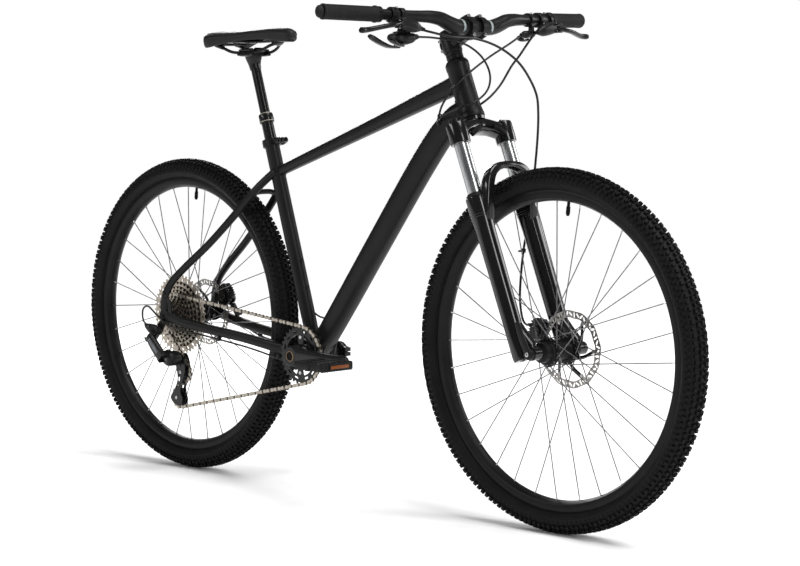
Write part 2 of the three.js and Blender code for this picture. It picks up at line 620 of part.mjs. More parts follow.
add('derailleur_body', derailleurBody(), 'plastic');
add('derailleur_link', derailleurLink(), 'black_alloy');
add('derailleur_knuckle', derailleurKnuckle(), 'plastic');
add('derailleur_cage', derailleurCage(), 'black_alloy');
add('guide_pulley', pulley(GUIDE_PULLEY), 'plastic');
add('tension_pulley', pulley(TENSION_PULLEY), 'plastic');

// ---------------------------------------------------------------- fork
const SIDES = { right: -1, left: 1 };

function forkCrown() {
  const bridge = tube([
    [steer(-40, 12, -70), 17, 15], [steer(-25, 8, -38), 19, 15], [steer(-19, 0, 0), 23, 17],
    [steer(-25, 8, 38), 19, 15], [steer(-40, 12, 70), 17, 15],
  ], STEER_FORWARD, 12, 0.8);
  const sleeves = [-1, 1].map((side) =>
    rod(steer(-60, FORK_OFFSET, side * LEG_Y), steer(-16, FORK_OFFSET, side * LEG_Y), 21, 21, 16));
  const steerer = rod(steer(-10), steer(195), STEERER_RADIUS, STEERER_RADIUS, 16);
  const bores = [-1, 1].map((side) => rod(steer(-65, FORK_OFFSET, side * LEG_Y),
    steer(-22, FORK_OFFSET, side * LEG_Y), STANCHION_RADIUS + GAP));
  const above = block(steer(20), [140, 200, 39], HEAD_ANGLE - Math.PI / 2);
  const steererBore = rod(steer(-50), steer(200), STEERER_RADIUS - STEERER_WALL);
  return cut(join([bridge, ...sleeves]), [above]).add(steerer).subtract(join([...bores, steererBore]));
}

function stanchion(side) {
  const place = (t) => steer(t, FORK_OFFSET, side * LEG_Y);
  const tubeBody = rod(place(-330), place(-22 - GAP), STANCHION_RADIUS);
  return cut(tubeBody, [rod(place(-335), place(-30), STANCHION_RADIUS - STANCHION_WALL)]);
}

function lowers() {
  const parts = [-1, 1].flatMap((side) => {
    const [foot, head] = [LEG_BOTTOM, LEG_TOP].map((t) => steer(t, FORK_OFFSET, side * LEG_Y));
    const leg = rod(foot, head, 19.5, 21, 16);
    const boss = rodOnSide(FRONT_AXLE, side, 55.2, 80, 13);
    const web = tube([
      [steer(LEG_BOTTOM + 20, FORK_OFFSET + 4, side * LEG_Y), 12, 17],
      [at(FRONT_AXLE.x, side * 68, FRONT_AXLE.z), 11, 12],
    ], ACROSS, 8, 0.7);
    return [leg, boss, web];
  });
  const arch = tube([
    [steer(-222, 22, -62), 9, 9], [steer(-190, 36, -60), 9, 10], [steer(-152, 47, -50), 9, 11],
    [steer(-126, 52, -26), 9, 10], [steer(-120, 54, 0), 9, 9], [steer(-126, 52, 26), 9, 10],
    [steer(-152, 47, 50), 9, 11], [steer(-190, 36, 60), 9, 10], [steer(-222, 22, 62), 9, 9],
  ], STEER_FORWARD, 10, 0.8);
  const bores = [-1, 1].map((side) => rod(steer(-440, FORK_OFFSET, side * LEG_Y),
    steer(LEG_TOP + 5, FORK_OFFSET, side * LEG_Y), STANCHION_RADIUS + GAP));
  return cut(join([...parts, arch]), [...bores, rodAcross(FRONT_AXLE, -90, 90, AXLE_RADIUS + GAP)]);
}

function frontAxle() {
  const shaft = rodAcross(FRONT_AXLE, -92, 79, AXLE_RADIUS);
  const head = rodAcross(FRONT_AXLE, -92, -80.4, 11);
  const lever = tube([
    [at(FRONT_AXLE.x + 2, -88, FRONT_AXLE.z), 4, 8], [at(FRONT_AXLE.x - 12, -93, FRONT_AXLE.z + 30), 3.5, 7],
    [at(FRONT_AXLE.x - 22, -95, FRONT_AXLE.z + 62), 3, 6],
  ], ACROSS, 8, 0.8);
  return join([shaft, head, lever]);
}

add('fork_crown', forkCrown(), 'gloss_black');
for (const [name, side] of Object.entries(SIDES)) {
  add(`stanchion_${name}`, stanchion(side), 'silver');
}
add('lockout_knob', rod(steer(-15.7, FORK_OFFSET, -LEG_Y), steer(-5, FORK_OFFSET, -LEG_Y), 13, 11), 'plastic');
add('fork_lowers', lowers(), 'gloss_black');
add('front_axle', frontAxle(), 'black_alloy');

// ---------------------------------------------------------------- brake calipers
add('front_brake_caliper', caliper(FRONT_AXLE, [-0.93, 0.37], FRONT_ROTOR_Y, 27.5, 47.5), 'gloss_black');
add('rear_brake_caliper', caliper(REAR_AXLE, [0.85, 0.53], REAR_ROTOR_Y, 39, 61), 'gloss_black');

// ---------------------------------------------------------------- cockpit
const BAR_CENTRE = steer(BAR_T, STEM_REACH);
const BAR_RADIUS = 15.9;
const GRIP_BAR_RADIUS = 11.1;
const barPoint = (side, y) => {
  const share = (y - 120) / (388 - 120);
  return at(349.5 - 43 * share, side * y, 1041.5 + 5.5 * share);
};

function handlebar() {
  const half = (side) => [
    [barPoint(side, 386), GRIP_BAR_RADIUS], [barPoint(side, 190), GRIP_BAR_RADIUS], [barPoint(side, 125), 13],
    [at(351, side * 98, 1038), 14.5], [at(351.5, side * 64, 1026.5), BAR_RADIUS],
    [at(BAR_CENTRE.x, side * 48, BAR_CENTRE.z), BAR_RADIUS],
  ].map(([centre, radius]) => [centre, radius, radius]);
  return tube([...half(-1), ...half(1).reverse()], at(1, 0, 0), 16);
}

function stem() {
  const clamp = rod(steer(146), steer(190), 20, 19, 20);
  const neck = tube([[steer(168, 8), 17, 17], [steer(171, 50), 17, 15], [steer(BAR_T, 62), 24, 18]], ACROSS, 12, 0.7);
  const barHalf = rodAcross(BAR_CENTRE, -24, 24, 21.5, 16);
  const ahead = block(steer(BAR_T, STEM_REACH + 31), [60, 80, 80], HEAD_ANGLE - Math.PI / 2);
  const pinch = block(steer(168, -22), [14, 24, 34], HEAD_ANGLE - Math.PI / 2);
  const slot = block(steer(168, -26), [30, 2, 60], HEAD_ANGLE - Math.PI / 2);
  return cut(join([clamp, neck, barHalf, pinch]), [
    ahead, slot, rodAcross(BAR_CENTRE, -40, 40, BAR_RADIUS + 0.6, 16),
    rod(steer(140), steer(194), STEERER_RADIUS + GAP, STEERER_RADIUS + GAP, 16),
  ]);
}

function stemFaceplate() {
  const shell = rodAcross(BAR_CENTRE, -24, 24, 21.5, 16);
  const behind = block(steer(BAR_T, STEM_REACH - 28), [60, 80, 80], HEAD_ANGLE - Math.PI / 2);
  const window = block(steer(BAR_T, STEM_REACH + 20), [30, 22, 22], HEAD_ANGLE - Math.PI / 2);
  return cut(shell, [behind, window, rodAcross(BAR_CENTRE, -40, 40, BAR_RADIUS + 0.6, 16)]);
}

function grip(side) {
  const stations = [[262, 19], [267, 19], [269, 16], [389, 16]];
  const body = tube(stations.map(([y, radius]) => [barPoint(side, y), radius, radius]), at(1, 0, 0), 14);
  return body.subtract(tube([[barPoint(side, 250), GRIP_BAR_RADIUS + GAP, GRIP_BAR_RADIUS + GAP],
    [barPoint(side, 386.6), GRIP_BAR_RADIUS + GAP, GRIP_BAR_RADIUS + GAP]], at(1, 0, 0), 16));
}

const ringOnBar = (side, y0, y1, radius) =>
  rod(barPoint(side, y0), barPoint(side, y1), radius, radius, 16).subtract(
    rod(barPoint(side, y0 - 5), barPoint(side, y1 + 5), GRIP_BAR_RADIUS + 0.6, GRIP_BAR_RADIUS + 0.6, 16));

function brakePerch(side) {
  const clamp = ringOnBar(side, 214, 228, 16);
  const neck = block(at(352, side * 221, 1034), [18, 13, 16]);
  const cylinder = tube([[at(370, side * 184, 1018), 8, 9], [at(369, side * 191, 1020), 11, 13],
    [at(364, side * 230, 1027), 12, 12]], at(1, 0, 0), 10, 0.75);
  const ear = block(at(368, side * 232, 1028), [24, 14, 19]);
  const slot = block(at(374, side * 239, 1025.5), [22, 16, 11]);
  return cut(join([clamp, neck, cylinder, ear]), [slot, rod(barPoint(side, 205), barPoint(side, 240),
    GRIP_BAR_RADIUS + 0.6, GRIP_BAR_RADIUS + 0.6, 16)]);
}

function brakeLever(side) {
  return tube([
    [at(371, side * 234.5, 1026), 5, 4], [at(377, side * 252, 1023), 6, 4], [at(377, side * 275, 1019.5), 6, 4],
    [at(370, side * 305, 1014), 6, 4.5], [at(366, side * 330, 1010), 6.5, 5], [at(369, side * 341, 1008.5), 5, 4],
  ], at(1, 0, 0), 8, 0.8);
}

function shifterBody() {
  const clamp = ringOnBar(-1, 196, 206, 15);
  const drop = block(at(341, -201, 1019), [12, 9, 28]);
  const housing = tube([
    [at(343, -168, 1001), 14, 6], [at(343, -178, 999), 20, 11], [at(342, -205, 996), 22, 13],
    [at(341, -226, 999), 17, 8],
  ], at(1, 0, 0), 12, 0.85);
  const barrel = rod(at(341, -172, 1001), at(339, -150, 1001), 5.5, 4.5, 10);
  return join([clamp, drop, housing, barrel]).subtract(
    rod(barPoint(-1, 186), barPoint(-1, 216), GRIP_BAR_RADIUS + 0.6, GRIP_BAR_RADIUS + 0.6, 16));
}

const shiftLeverMain = () => tube([
  [at(330, -206, 979.5), 12, 2.6], [at(324, -231, 980.5), 10, 2.8], [at(319, -248, 988), 8.5, 3],
  [at(317, -262, 997), 7.5, 3.2], [at(317, -271, 1002.5), 6, 3.5],
], at(1, 0, 0), 8, 0.8);
const shiftLeverRelease = () => tube([
  [at(356, -214, 981.5), 7, 2], [at(361, -234, 984), 6, 2], [at(363, -250, 993), 6, 2.4],
], at(1, 0, 0), 8, 0.8);

function dropperRemoteBody() {
  const clamp = ringOnBar(1, 178, 186, 14.5);
  const drop = block(at(348, 181, 1022), [14, 7, 22]);
  const housing = tube([[at(358, 137, 1010), 5, 5], [at(357, 150, 1011), 8, 8], [at(348, 184, 1012), 7, 6]],
    at(1, 0, 0), 10, 0.85);
  return join([clamp, drop, housing]).subtract(
    rod(barPoint(1, 168), barPoint(1, 196), GRIP_BAR_RADIUS + 0.6, GRIP_BAR_RADIUS + 0.6, 16));
}

const dropperRemoteLever = () => tube([
  [at(345, 170, 1000.5), 8, 2], [at(332, 172, 999), 8, 2.4], [at(316, 182, 1003), 8, 2.4],
  [at(304, 196, 1008), 7, 2.6],
], ACROSS, 8, 0.8);

const headsetSpacers = () => ring([[STEERER_RADIUS + 0.6, HEAD_LENGTH + 0.4], [25, HEAD_LENGTH + 0.4],
  [20, HEAD_LENGTH + 9], [18, HEAD_LENGTH + 9.5], [18, 145.6], [STEERER_RADIUS + 0.6, 145.6]], HEAD_LOW, STEER_UP);

add('headset_spacers', headsetSpacers(), 'black_alloy');
add('stem', stem(), 'black_alloy');
add('stem_faceplate', stemFaceplate(), 'black_alloy');
add('handlebar', handlebar(), 'black_alloy');
for (const [name, side] of Object.entries(SIDES)) {
  add(`grip_${name}`, grip(side), 'rubber');
  add(`brake_perch_${name}`, brakePerch(side), 'plastic');
  add(`brake_lever_${name}`, brakeLever(side), 'black_alloy');
}
add('shifter_body', shifterBody(), 'plastic');
add('shift_lever_main', shiftLeverMain(), 'plastic');
add('shift_lever_release', shiftLeverRelease(), 'plastic');
add('dropper_remote_body', dropperRemoteBody(), 'black_alloy');
add('dropper_remote_lever', dropperRemoteLever(), 'black_alloy');

// ---------------------------------------------------------------- seatpost and saddle
function seatpostOuter() {
  const tubeBody = rod(seat(POST_BOTTOM), seat(POST_TOP), POST_RADIUS);
  const collar = rod(seat(POST_TOP - 10), seat(POST_TOP + 12), 17, 16, 20);
  const bore = rod(seat(POST_BOTTOM + 6), seat(POST_TOP + 20), SLIDER_RADIUS + GAP);
  return cut(tubeBody.add(collar), [bore]);
}

function seatpostSlider() {
  const shaft = rod(seat(SLIDER_BOTTOM), seat(SLIDER_TOP), SLIDER_RADIUS);
  const head = tube([[seat(SLIDER_TOP - 4, -2), 12, 13], [seat(SLIDER_TOP + 14, 2), 16, 21]], ACROSS, 12, 0.8);
  const cradle = block(at(-340, 0, 982.6), [50, 58, 10.2]);
  const rails = [-1, 1].map((side) => rod(at(-380, side * 22, 985.5), at(-290, side * 22, 985.5), 4.8, 4.8, 10));
  return cut(join([shaft, head, cradle]), rails);
}

function saddleRails() {
  return sweep(route([
    [-424, 34, 1002], [-408, 30, 995], [-380, 22, 985.5], [-340, 22, 985.5], [-308, 22, 985.5], [-284, 19, 992],
    [-264, 11, 1001.5], [-258, 0, 1003], [-264, -11, 1001.5], [-284, -19, 992], [-308, -22, 985.5],
    [-340, -22, 985.5], [-380, -22, 985.5], [-408, -30, 995], [-424, -34, 1002],
  ]), 3.5, 6, 28);
}

// Along the saddle, nose to tail: x, half width, and the height of the pad's lower edge.
const SADDLE_TOP = 1040;
const SADDLE_BASE_TOP = 1012.4;
const SADDLE_STATIONS = [
  [-202, 9, 1017], [-210, 17, 1010], [-236, 21, 1007], [-275, 24, 1008], [-320, 31, 1008], [-362, 45, 1006],
  [-402, 61, 1001], [-432, 69, 996], [-450, 61, 996], [-458, 42, 1003],
];

// A slab under the saddle's outline, inset all round, between two heights.
const saddleSlab = (low, high, inset) => tube(SADDLE_STATIONS.map(([x, wide]) =>
  [at(x + (x < -330 ? inset : -inset), 0, (low + high) / 2), wide - inset, (high - low) / 2]), ACROSS, 8, 0.4);

function saddlePad() {
  const cover = tube(SADDLE_STATIONS.map(([x, wide, edge], i, all) => {
    const drop = i === 0 || i === all.length - 1 ? 7 : 0;
    return [at(x, 0, (SADDLE_TOP - drop + edge) / 2), wide, (SADDLE_TOP - drop - edge) / 2];
  }), ACROSS, 12, 0.7);
  const recess = saddleSlab(SADDLE_BASE_TOP - 6.8, SADDLE_BASE_TOP + 0.8, 5.7);
  return cut(cover, [saddleSlab(980, SADDLE_BASE_TOP - 3, 7), recess]);
}

const saddleBase = () => saddleSlab(SADDLE_BASE_TOP - 6, SADDLE_BASE_TOP, 6.5);

function seatClampLever() {
  const s = SEAT_TUBE_LENGTH - 5;
  return tube([[seat(s, 34, 13), 4, 6], [seat(s, 26, 22), 3, 6], [seat(s, 4, 26), 2.6, 6], [seat(s, -16, 26), 2.6, 5]],
    STEER_FORWARD, 8, 0.8);
}

add('seatpost_outer', seatpostOuter(), 'black_alloy');
add('seatpost_slider', seatpostSlider(), 'gloss_black');
add('saddle_rails', saddleRails(), 'black_alloy');
add('saddle_base', saddleBase(), 'plastic');
add('saddle_pad', saddlePad(), 'leather');
add('seat_clamp_lever', seatClampLever(), 'black_alloy');

add('shift_cable', cord(SHIFT_CABLE, CABLE_RADIUS, SHIFT_STEPS), 'plastic');
add('dropper_cable', cord(DROPPER_CABLE, CABLE_RADIUS, DROPPER_STEPS), 'plastic');
add('rear_brake_hose', cord(REAR_HOSE, HOSE_RADIUS, REAR_HOSE_STEPS), 'plastic');
add('front_brake_hose', cord(FRONT_HOSE, HOSE_RADIUS, FRONT_HOSE_STEPS), 'plastic');

export default bike;
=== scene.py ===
"""A hardtail mountain bike, in detail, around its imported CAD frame.

Shapes are written in millimetres and become metres when a piece is made. +X points forwards,
+Y to the rider's left, +Z up, and the origin is on the ground midway between the axles.
"""

import math

import bmesh
import bpy
from mathutils import Matrix, Vector
from mathutils.bvhtree import BVHTree


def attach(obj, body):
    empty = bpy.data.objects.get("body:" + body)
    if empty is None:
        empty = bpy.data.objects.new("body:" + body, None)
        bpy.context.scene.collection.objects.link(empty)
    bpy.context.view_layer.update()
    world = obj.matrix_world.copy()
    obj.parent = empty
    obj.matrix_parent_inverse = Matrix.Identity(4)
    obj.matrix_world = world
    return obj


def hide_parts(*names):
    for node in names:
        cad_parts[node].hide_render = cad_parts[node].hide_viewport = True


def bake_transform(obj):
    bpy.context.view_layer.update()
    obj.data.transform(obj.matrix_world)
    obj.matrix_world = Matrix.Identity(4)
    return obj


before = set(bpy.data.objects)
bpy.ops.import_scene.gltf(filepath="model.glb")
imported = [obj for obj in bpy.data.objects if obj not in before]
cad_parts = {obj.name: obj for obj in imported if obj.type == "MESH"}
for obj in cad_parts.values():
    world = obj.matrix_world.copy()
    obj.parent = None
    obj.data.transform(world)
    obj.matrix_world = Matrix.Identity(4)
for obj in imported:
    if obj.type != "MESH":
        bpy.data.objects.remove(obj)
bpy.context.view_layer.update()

MM = 0.001
X, Y, Z = Vector((1, 0, 0)), Vector((0, 1, 0)), Vector((0, 0, 1))
SIDES = ((-1, "right"), (1, "left"))


def at(x, y, z):
    return Vector((x, y, z))


# ------------------------------------------------------------------ the bike's own measurements
REAR_AXLE = at(-581, 0, 370)
FRONT_AXLE = at(581, 0, 370)
BB = at(-136, 0, 308.5)
HEAD_LOW = at(347.5, 0, 835.8)
HEAD_ANGLE = math.radians(68.5)
STEER_UP = at(-math.cos(HEAD_ANGLE), 0, math.sin(HEAD_ANGLE))
STEER_FORWARD = at(math.sin(HEAD_ANGLE), 0, math.cos(HEAD_ANGLE))
SEAT_ANGLE = math.radians(72.8)
SEAT_UP = at(-math.cos(SEAT_ANGLE), 0, math.sin(SEAT_ANGLE))
SEAT_FORWARD = at(math.sin(SEAT_ANGLE), 0, math.cos(SEAT_ANGLE))
CHAIN_LINE = -47.2
PITCH = 12.7
GUIDE_PULLEY = at(-550, CHAIN_LINE, 236)
TENSION_PULLEY = at(-566, CHAIN_LINE, 174)


def steer(t, f=0, y=0):
    return HEAD_LOW + STEER_UP * t + STEER_FORWARD * f + Y * y


def seat(s, f=0, y=0):
    return BB + SEAT_UP * s + SEAT_FORWARD * f + Y * y


def beside(place, y):
    """The point level with a place, at another distance from the midplane."""
    return at(place.x, y, place.z)


def pitch_radius(teeth):
    return teeth * PITCH / (2 * math.pi)


# ------------------------------------------------------------------ camera, floor and light
def look(azimuth, pitch, roll):
    """Right, up and forward directions of a camera, from its angles in degrees."""
    az, p, r = (math.radians(a) for a in (azimuth, pitch, roll))
    ahead = at(-math.sin(az) * math.cos(p), math.cos(az) * math.cos(p), -math.sin(p))
    right = at(math.cos(az), math.sin(az), 0)
    up = right.cross(ahead)
    return right * math.cos(r) + up * math.sin(r), up * math.cos(r) - right * math.sin(r), ahead


# found from the outlines of both wheels in the photograph
CAMERA_ANGLES = (45.2736, 4.7268, -0.2489)
CAMERA_PLACE = (3.4238, -3.2604, 0.8652)
FOCAL_LENGTH = 97.108

right, up, ahead = look(*CAMERA_ANGLES)
lens = bpy.data.cameras.new("camera")
lens.sensor_width = 36
lens.lens = FOCAL_LENGTH
lens.clip_end = 60
camera = bpy.data.objects.new("camera", lens)
facing = Matrix((right, up, -ahead)).transposed().to_4x4()
camera.matrix_world = Matrix.Translation(CAMERA_PLACE) @ facing
bpy.context.scene.collection.objects.link(camera)
bpy.context.scene.camera = camera
bpy.context.scene.view_settings.view_transform = "Standard"
bpy.context.scene.view_settings.look = "None"


def area_light(name, place, target, size, power):
    data = bpy.data.lights.new(name, "AREA")
    data.shape = "RECTANGLE"
    data.size, data.size_y = size
    data.energy = power
    lamp = bpy.data.objects.new(name, data)
    lamp.location = place
    lamp.rotation_euler = (Vector(target) - Vector(place)).to_track_quat("-Z", "Y").to_euler()
    bpy.context.scene.collection.objects.link(lamp)


area_light("front_key", (3.8, -0.6, 2.0), (0.2, 0, 0.6), (0.8, 2.4), 60)
area_light("drive_side", (-1.6, -3.6, 2.2), (-0.1, 0, 0.5), (2.6, 0.7), 42)
area_light("rear_rim", (-3.2, 2.0, 2.0), (-0.2, 0, 0.6), (0.8, 2.0), 46)
area_light("far_side", (1.6, 3.4, 1.8), (0, 0, 0.6), (2.4, 0.9), 34)

overhead = bpy.data.lights.new("overhead", "SUN")
overhead.energy = 3.05
overhead.angle = math.radians(42)
overhead_lamp = bpy.data.objects.new("overhead", overhead)
overhead_lamp.rotation_euler = (math.radians(-6), math.radians(24), 0)
bpy.context.scene.collection.objects.link(overhead_lamp)

world = bpy.data.worlds.new("studio")
bpy.context.scene.world = world
world.use_nodes = True
backdrop = world.node_tree.nodes["Background"]
backdrop.inputs["Color"].default_value = (1, 1, 1, 1)
seen = world.node_tree.nodes.new("ShaderNodeLightPath")
strength = world.node_tree.nodes.new("ShaderNodeMapRange")
strength.inputs["To Min"].default_value = 0.16
strength.inputs["To Max"].default_value = 1.0
world.node_tree.links.new(seen.outputs["Is Camera Ray"], strength.inputs["Value"])
world.node_tree.links.new(strength.outputs["Result"], backdrop.inputs["Strength"])


# ------------------------------------------------------------------ materials
GRAIN_DEPTH = 0.0002
COAT_ROUGHNESS = 0.08


def finish(name, dark, light, rough=(0.4, 0.5), metal=0.0, scale=60, grain=900, bump=0.05, coat=0.0,
           level=0.5,
           stretch=(1, 1, 1)):
    """A procedural surface: a slow drift of colour and roughness, and a fine grain in the bump."""
    material = bpy.data.materials.new(name)
    material.use_nodes = True
    nodes, links = material.node_tree.nodes, material.node_tree.links
    shader = nodes["Principled BSDF"]
    place = nodes.new("ShaderNodeTexCoord")
    mapping = nodes.new("ShaderNodeMapping")
    mapping.inputs["Scale"].default_value = stretch
    links.new(place.outputs["Object"], mapping.inputs["Vector"])
    drift = nodes.new("ShaderNodeTexNoise")
    drift.inputs["Scale"].default_value = scale
    drift.inputs["Detail"].default_value = 4
    links.new(mapping.outputs["Vector"], drift.inputs["Vector"])
    ramp = nodes.new("ShaderNodeValToRGB")
    ramp.color_ramp.elements[0].position = 0.32
    ramp.color_ramp.elements[0].color = (*dark, 1)
    ramp.color_ramp.elements[1].position = 0.7
    ramp.color_ramp.elements[1].color = (*light, 1)
    links.new(drift.outputs["Fac"], ramp.inputs["Fac"])
    links.new(ramp.outputs["Color"], shader.inputs["Base Color"])
    polish = nodes.new("ShaderNodeMapRange")
    polish.inputs["To Min"].default_value = rough[0]
    polish.inputs["To Max"].default_value = rough[1]
    links.new(drift.outputs["Fac"], polish.inputs["Value"])
    links.new(polish.outputs["Result"], shader.inputs["Roughness"])
    fine = nodes.new("ShaderNodeTexNoise")
    fine.inputs["Scale"].default_value = grain
    fine.inputs["Detail"].default_value = 3
    links.new(mapping.outputs["Vector"], fine.inputs["Vector"])
    relief = nodes.new("ShaderNodeBump")
    relief.inputs["Strength"].default_value = bump
    relief.inputs["Distance"].default_value = GRAIN_DEPTH
    links.new(fine.outputs["Fac"], relief.inputs["Height"])
    links.new(relief.outputs["Normal"], shader.inputs["Normal"])
    shader.inputs["Metallic"].default_value = metal
    shader.inputs["Specular IOR Level"].default_value = level
    shader.inputs["Coat Weight"].default_value = coat
    shader.inputs["Coat Roughness"].default_value = COAT_ROUGHNESS
    return material


def tone(value):
    """A neutral grey."""
    return value, value, value


FRAME_PAINT = finish("frame_paint", tone(0.004), tone(0.007), (0.36, 0.44), scale=18, grain=2600, bump=0.06,
                     coat=0.02, level=0.16)
GLOSS = finish("fork_gloss", tone(0.003), tone(0.005), (0.12, 0.2), scale=12, grain=400, bump=0.02, coat=0.4,
               level=0.25)
ENAMEL = finish("caliper_enamel", tone(0.004), tone(0.006), (0.2, 0.32), scale=40, grain=900, bump=0.05,
                coat=0.12, level=0.2)
ALLOY = finish("bar_alloy", tone(0.005), tone(0.008), (0.32, 0.42), metal=0.1, level=0.18, scale=40,
               grain=2400, bump=0.08)
CRANK = finish("crank_alloy", tone(0.005), tone(0.008), (0.26, 0.36), metal=0.1, level=0.22, scale=30,
               grain=1800, bump=0.05, coat=0.1)
RIM_BLACK = finish("rim_black", tone(0.004), tone(0.007), (0.36, 0.46), metal=0.1, level=0.16, scale=30,
                   grain=1600, bump=0.06)
CHROME = finish("stanchion_chrome", (0.34, 0.345, 0.35), (0.46, 0.465, 0.47), (0.2, 0.3), metal=1.0, scale=30,
                grain=300, bump=0.03, stretch=(1, 1, 0.06))
BRIGHT = finish("bright_steel", (0.4, 0.4, 0.4), (0.54, 0.53, 0.52), (0.24, 0.36), metal=1.0, scale=80,
                grain=1400, bump=0.06)
SPOKE = finish("spoke_steel", (0.12, 0.12, 0.125), (0.2, 0.2, 0.21), (0.28, 0.4), metal=1.0, scale=120,
               grain=1200, bump=0.03)
ROTOR = finish("rotor_steel", (0.24, 0.23, 0.21), (0.4, 0.385, 0.36), (0.26, 0.4), metal=1.0, scale=160,
               grain=1800, bump=0.1, stretch=(1, 6, 1))
NICKEL = finish("cog_nickel", (0.3, 0.265, 0.22), (0.5, 0.45, 0.38), (0.26, 0.42), metal=1.0, scale=110,
                grain=1500, bump=0.08)
LINK = finish("chain_nickel", (0.26, 0.23, 0.19), (0.48, 0.43, 0.36), (0.24, 0.42), metal=1.0, scale=240,
              grain=2000, bump=0.08)
# a darker copy of the chain's nickel for the inner plates: painted shade between the outer plates
LINK_SHADE = finish("chain_inner_painted_shade", (0.05, 0.045, 0.038), (0.11, 0.1, 0.085), (0.3, 0.46), metal=1.0,
                    scale=240, grain=2000, bump=0.08)
ROLLER = finish("chain_roller", (0.02, 0.018, 0.016), (0.05, 0.045, 0.04), (0.35, 0.5), metal=0.8, scale=300,
                bump=0.04)
COPPER = finish("bearing_copper", (0.2, 0.13, 0.08), (0.3, 0.2, 0.13), (0.3, 0.4), metal=1.0, scale=90,
                bump=0.05)
RUBBER = finish("tyre_rubber", tone(0.004), tone(0.007), (0.52, 0.66), scale=25, grain=1500, bump=0.12,
                level=0.12)
TREAD = finish("tread_rubber", tone(0.003), tone(0.006), (0.55, 0.72), scale=60, grain=1200, bump=0.2,
               level=0.12)
GRIP = finish("grip_rubber", tone(0.007), tone(0.011), (0.58, 0.74), scale=80, grain=1800, bump=0.2,
              level=0.16)
PLASTIC = finish("control_plastic", tone(0.004), tone(0.007), (0.3, 0.44), scale=60, grain=2200, bump=0.12,
                 level=0.2)
PEDAL = finish("pedal_plastic", tone(0.005), tone(0.008), (0.42, 0.56), scale=60, grain=1900, bump=0.18,
               level=0.18)
HOSE = finish("hose_sleeve", tone(0.005), tone(0.009), (0.26, 0.36), scale=200, grain=1600, bump=0.06,
              level=0.25)
# near-black: painted shade in sockets, holes, notches, bores and between the cogs, and also the own black of
# the valve and hose boots
PAINTED_SHADE_AND_BLACK = finish("painted_shade_and_black", tone(0.0015), tone(0.003), (0.5, 0.7), scale=60, grain=900, bump=0.05, level=0.1)
GREY_BAND = finish("grey_band", (0.2, 0.23, 0.235), (0.25, 0.28, 0.285), (0.42, 0.52), scale=90, grain=1800,
                   bump=0.05)
SILVER_PLATE = finish("silver_plate", (0.1, 0.108, 0.12), (0.17, 0.18, 0.2), (0.3, 0.42), metal=0.9, scale=90,
                      grain=1800, bump=0.06)
SEAL = finish("wiper_seal", tone(0.006), tone(0.01), (0.5, 0.62), level=0.18, scale=70, grain=1600, bump=0.15)


def cells(material, scale, strength, depth, feature="F1"):
    """Replaces a finish's fine grain by a relief of small cells."""
    nodes, links = material.node_tree.nodes, material.node_tree.links
    pattern = nodes.new("ShaderNodeTexVoronoi")
    pattern.inputs["Scale"].default_value = scale
    pattern.feature = feature
    place = next(n for n in nodes if n.type == "TEX_COORD")
    links.new(place.outputs["Object"], pattern.inputs["Vector"])
    relief = next(n for n in nodes if n.type == "BUMP")
    relief.inputs["Strength"].default_value = strength
    relief.inputs["Distance"].default_value = depth
    links.new(pattern.outputs["Distance"], relief.inputs["Height"])
    return pattern


# moulded amber plastic with rows of small prisms
AMBER = finish("reflector_amber", (0.13, 0.03, 0.002), (0.22, 0.055, 0.004), (0.2, 0.3), scale=300, coat=0.15,
               level=0.3)
cells(AMBER, 520, 0.7, 0.0006).inputs["Randomness"].default_value = 0.0
# black synthetic leather with pebbled cells
LEATHER = finish("saddle_skin", tone(0.006), tone(0.01), (0.42, 0.54), scale=30, level=0.22)
cells(LEATHER, 640, 0.35, 0.0004, feature="SMOOTH_F1")


# ------------------------------------------------------------------ shape tools
def turns(count):
    """Angles with even spacing round a circle."""
    return [2 * math.pi * k / count for k in range(count)]


def catmull(points, per):
    """Values along a centripetal curve through points, with `per` steps between each two."""
    points = [Vector(p) for p in points]
    before = points[0] * 2 - points[1]
    after = points[-1] * 2 - points[-2]
    chain = [before, *points, after]
    result = []
    for i in range(1, len(chain) - 2):
        p0, p1, p2, p3 = chain[i - 1:i + 3]
        d0, d1, d2 = (max((b - a).length, 1e-6) ** 0.5 for a, b in ((p0, p1), (p1, p2), (p2, p3)))
        t1 = ((p1 - p0) / d0 - (p2 - p0) / (d0 + d1) + (p2 - p1) / d1) * d1
        t2 = ((p2 - p1) / d1 - (p3 - p1) / (d1 + d2) + (p3 - p2) / d2) * d1
        for k in range(per):
            t = k / per
            result.append(p1 + t1 * t + (p1 * -3 + p2 * 3 - t1 * 2 - t2) * t ** 2
                          + (p1 * 2 - p2 * 2 + t1 + t2) * t ** 3)
    result.append(points[-1])
    return result


def circle(u, v, radius, sides=24):
    return [(u + radius * math.cos(a), v + radius * math.sin(a)) for a in turns(sides)]


def oblong(u, v, length, width, angle, sides=6):
    """A slot's outline: round ends, its length at an angle."""
    c, s = math.cos(angle), math.sin(angle)
    half = (length - width) / 2
    outline = []
    for end in (1, -1):
        for k in range(sides + 1):
            a = (-math.pi / 2 + math.pi * k / sides) + (0 if end > 0 else math.pi)
            du, dv = end * half + width / 2 * math.cos(a), width / 2 * math.sin(a)
            outline.append((u + du * c - dv * s, v + du * s + dv * c))
    return outline


def axes(direction):
    """Two directions square to the given one."""
    d = Vector(direction).normalized()
    if abs(d.dot(Y)) > 0.99:
        return X.copy(), Z * (1 if d.dot(Y) < 0 else -1)
    u = (X if abs(d.dot(X)) < 0.9 else Z).cross(d).normalized()
    return u, d.cross(u)


def turned(axis, angle):
    return Matrix.Rotation(angle, 3, axis)


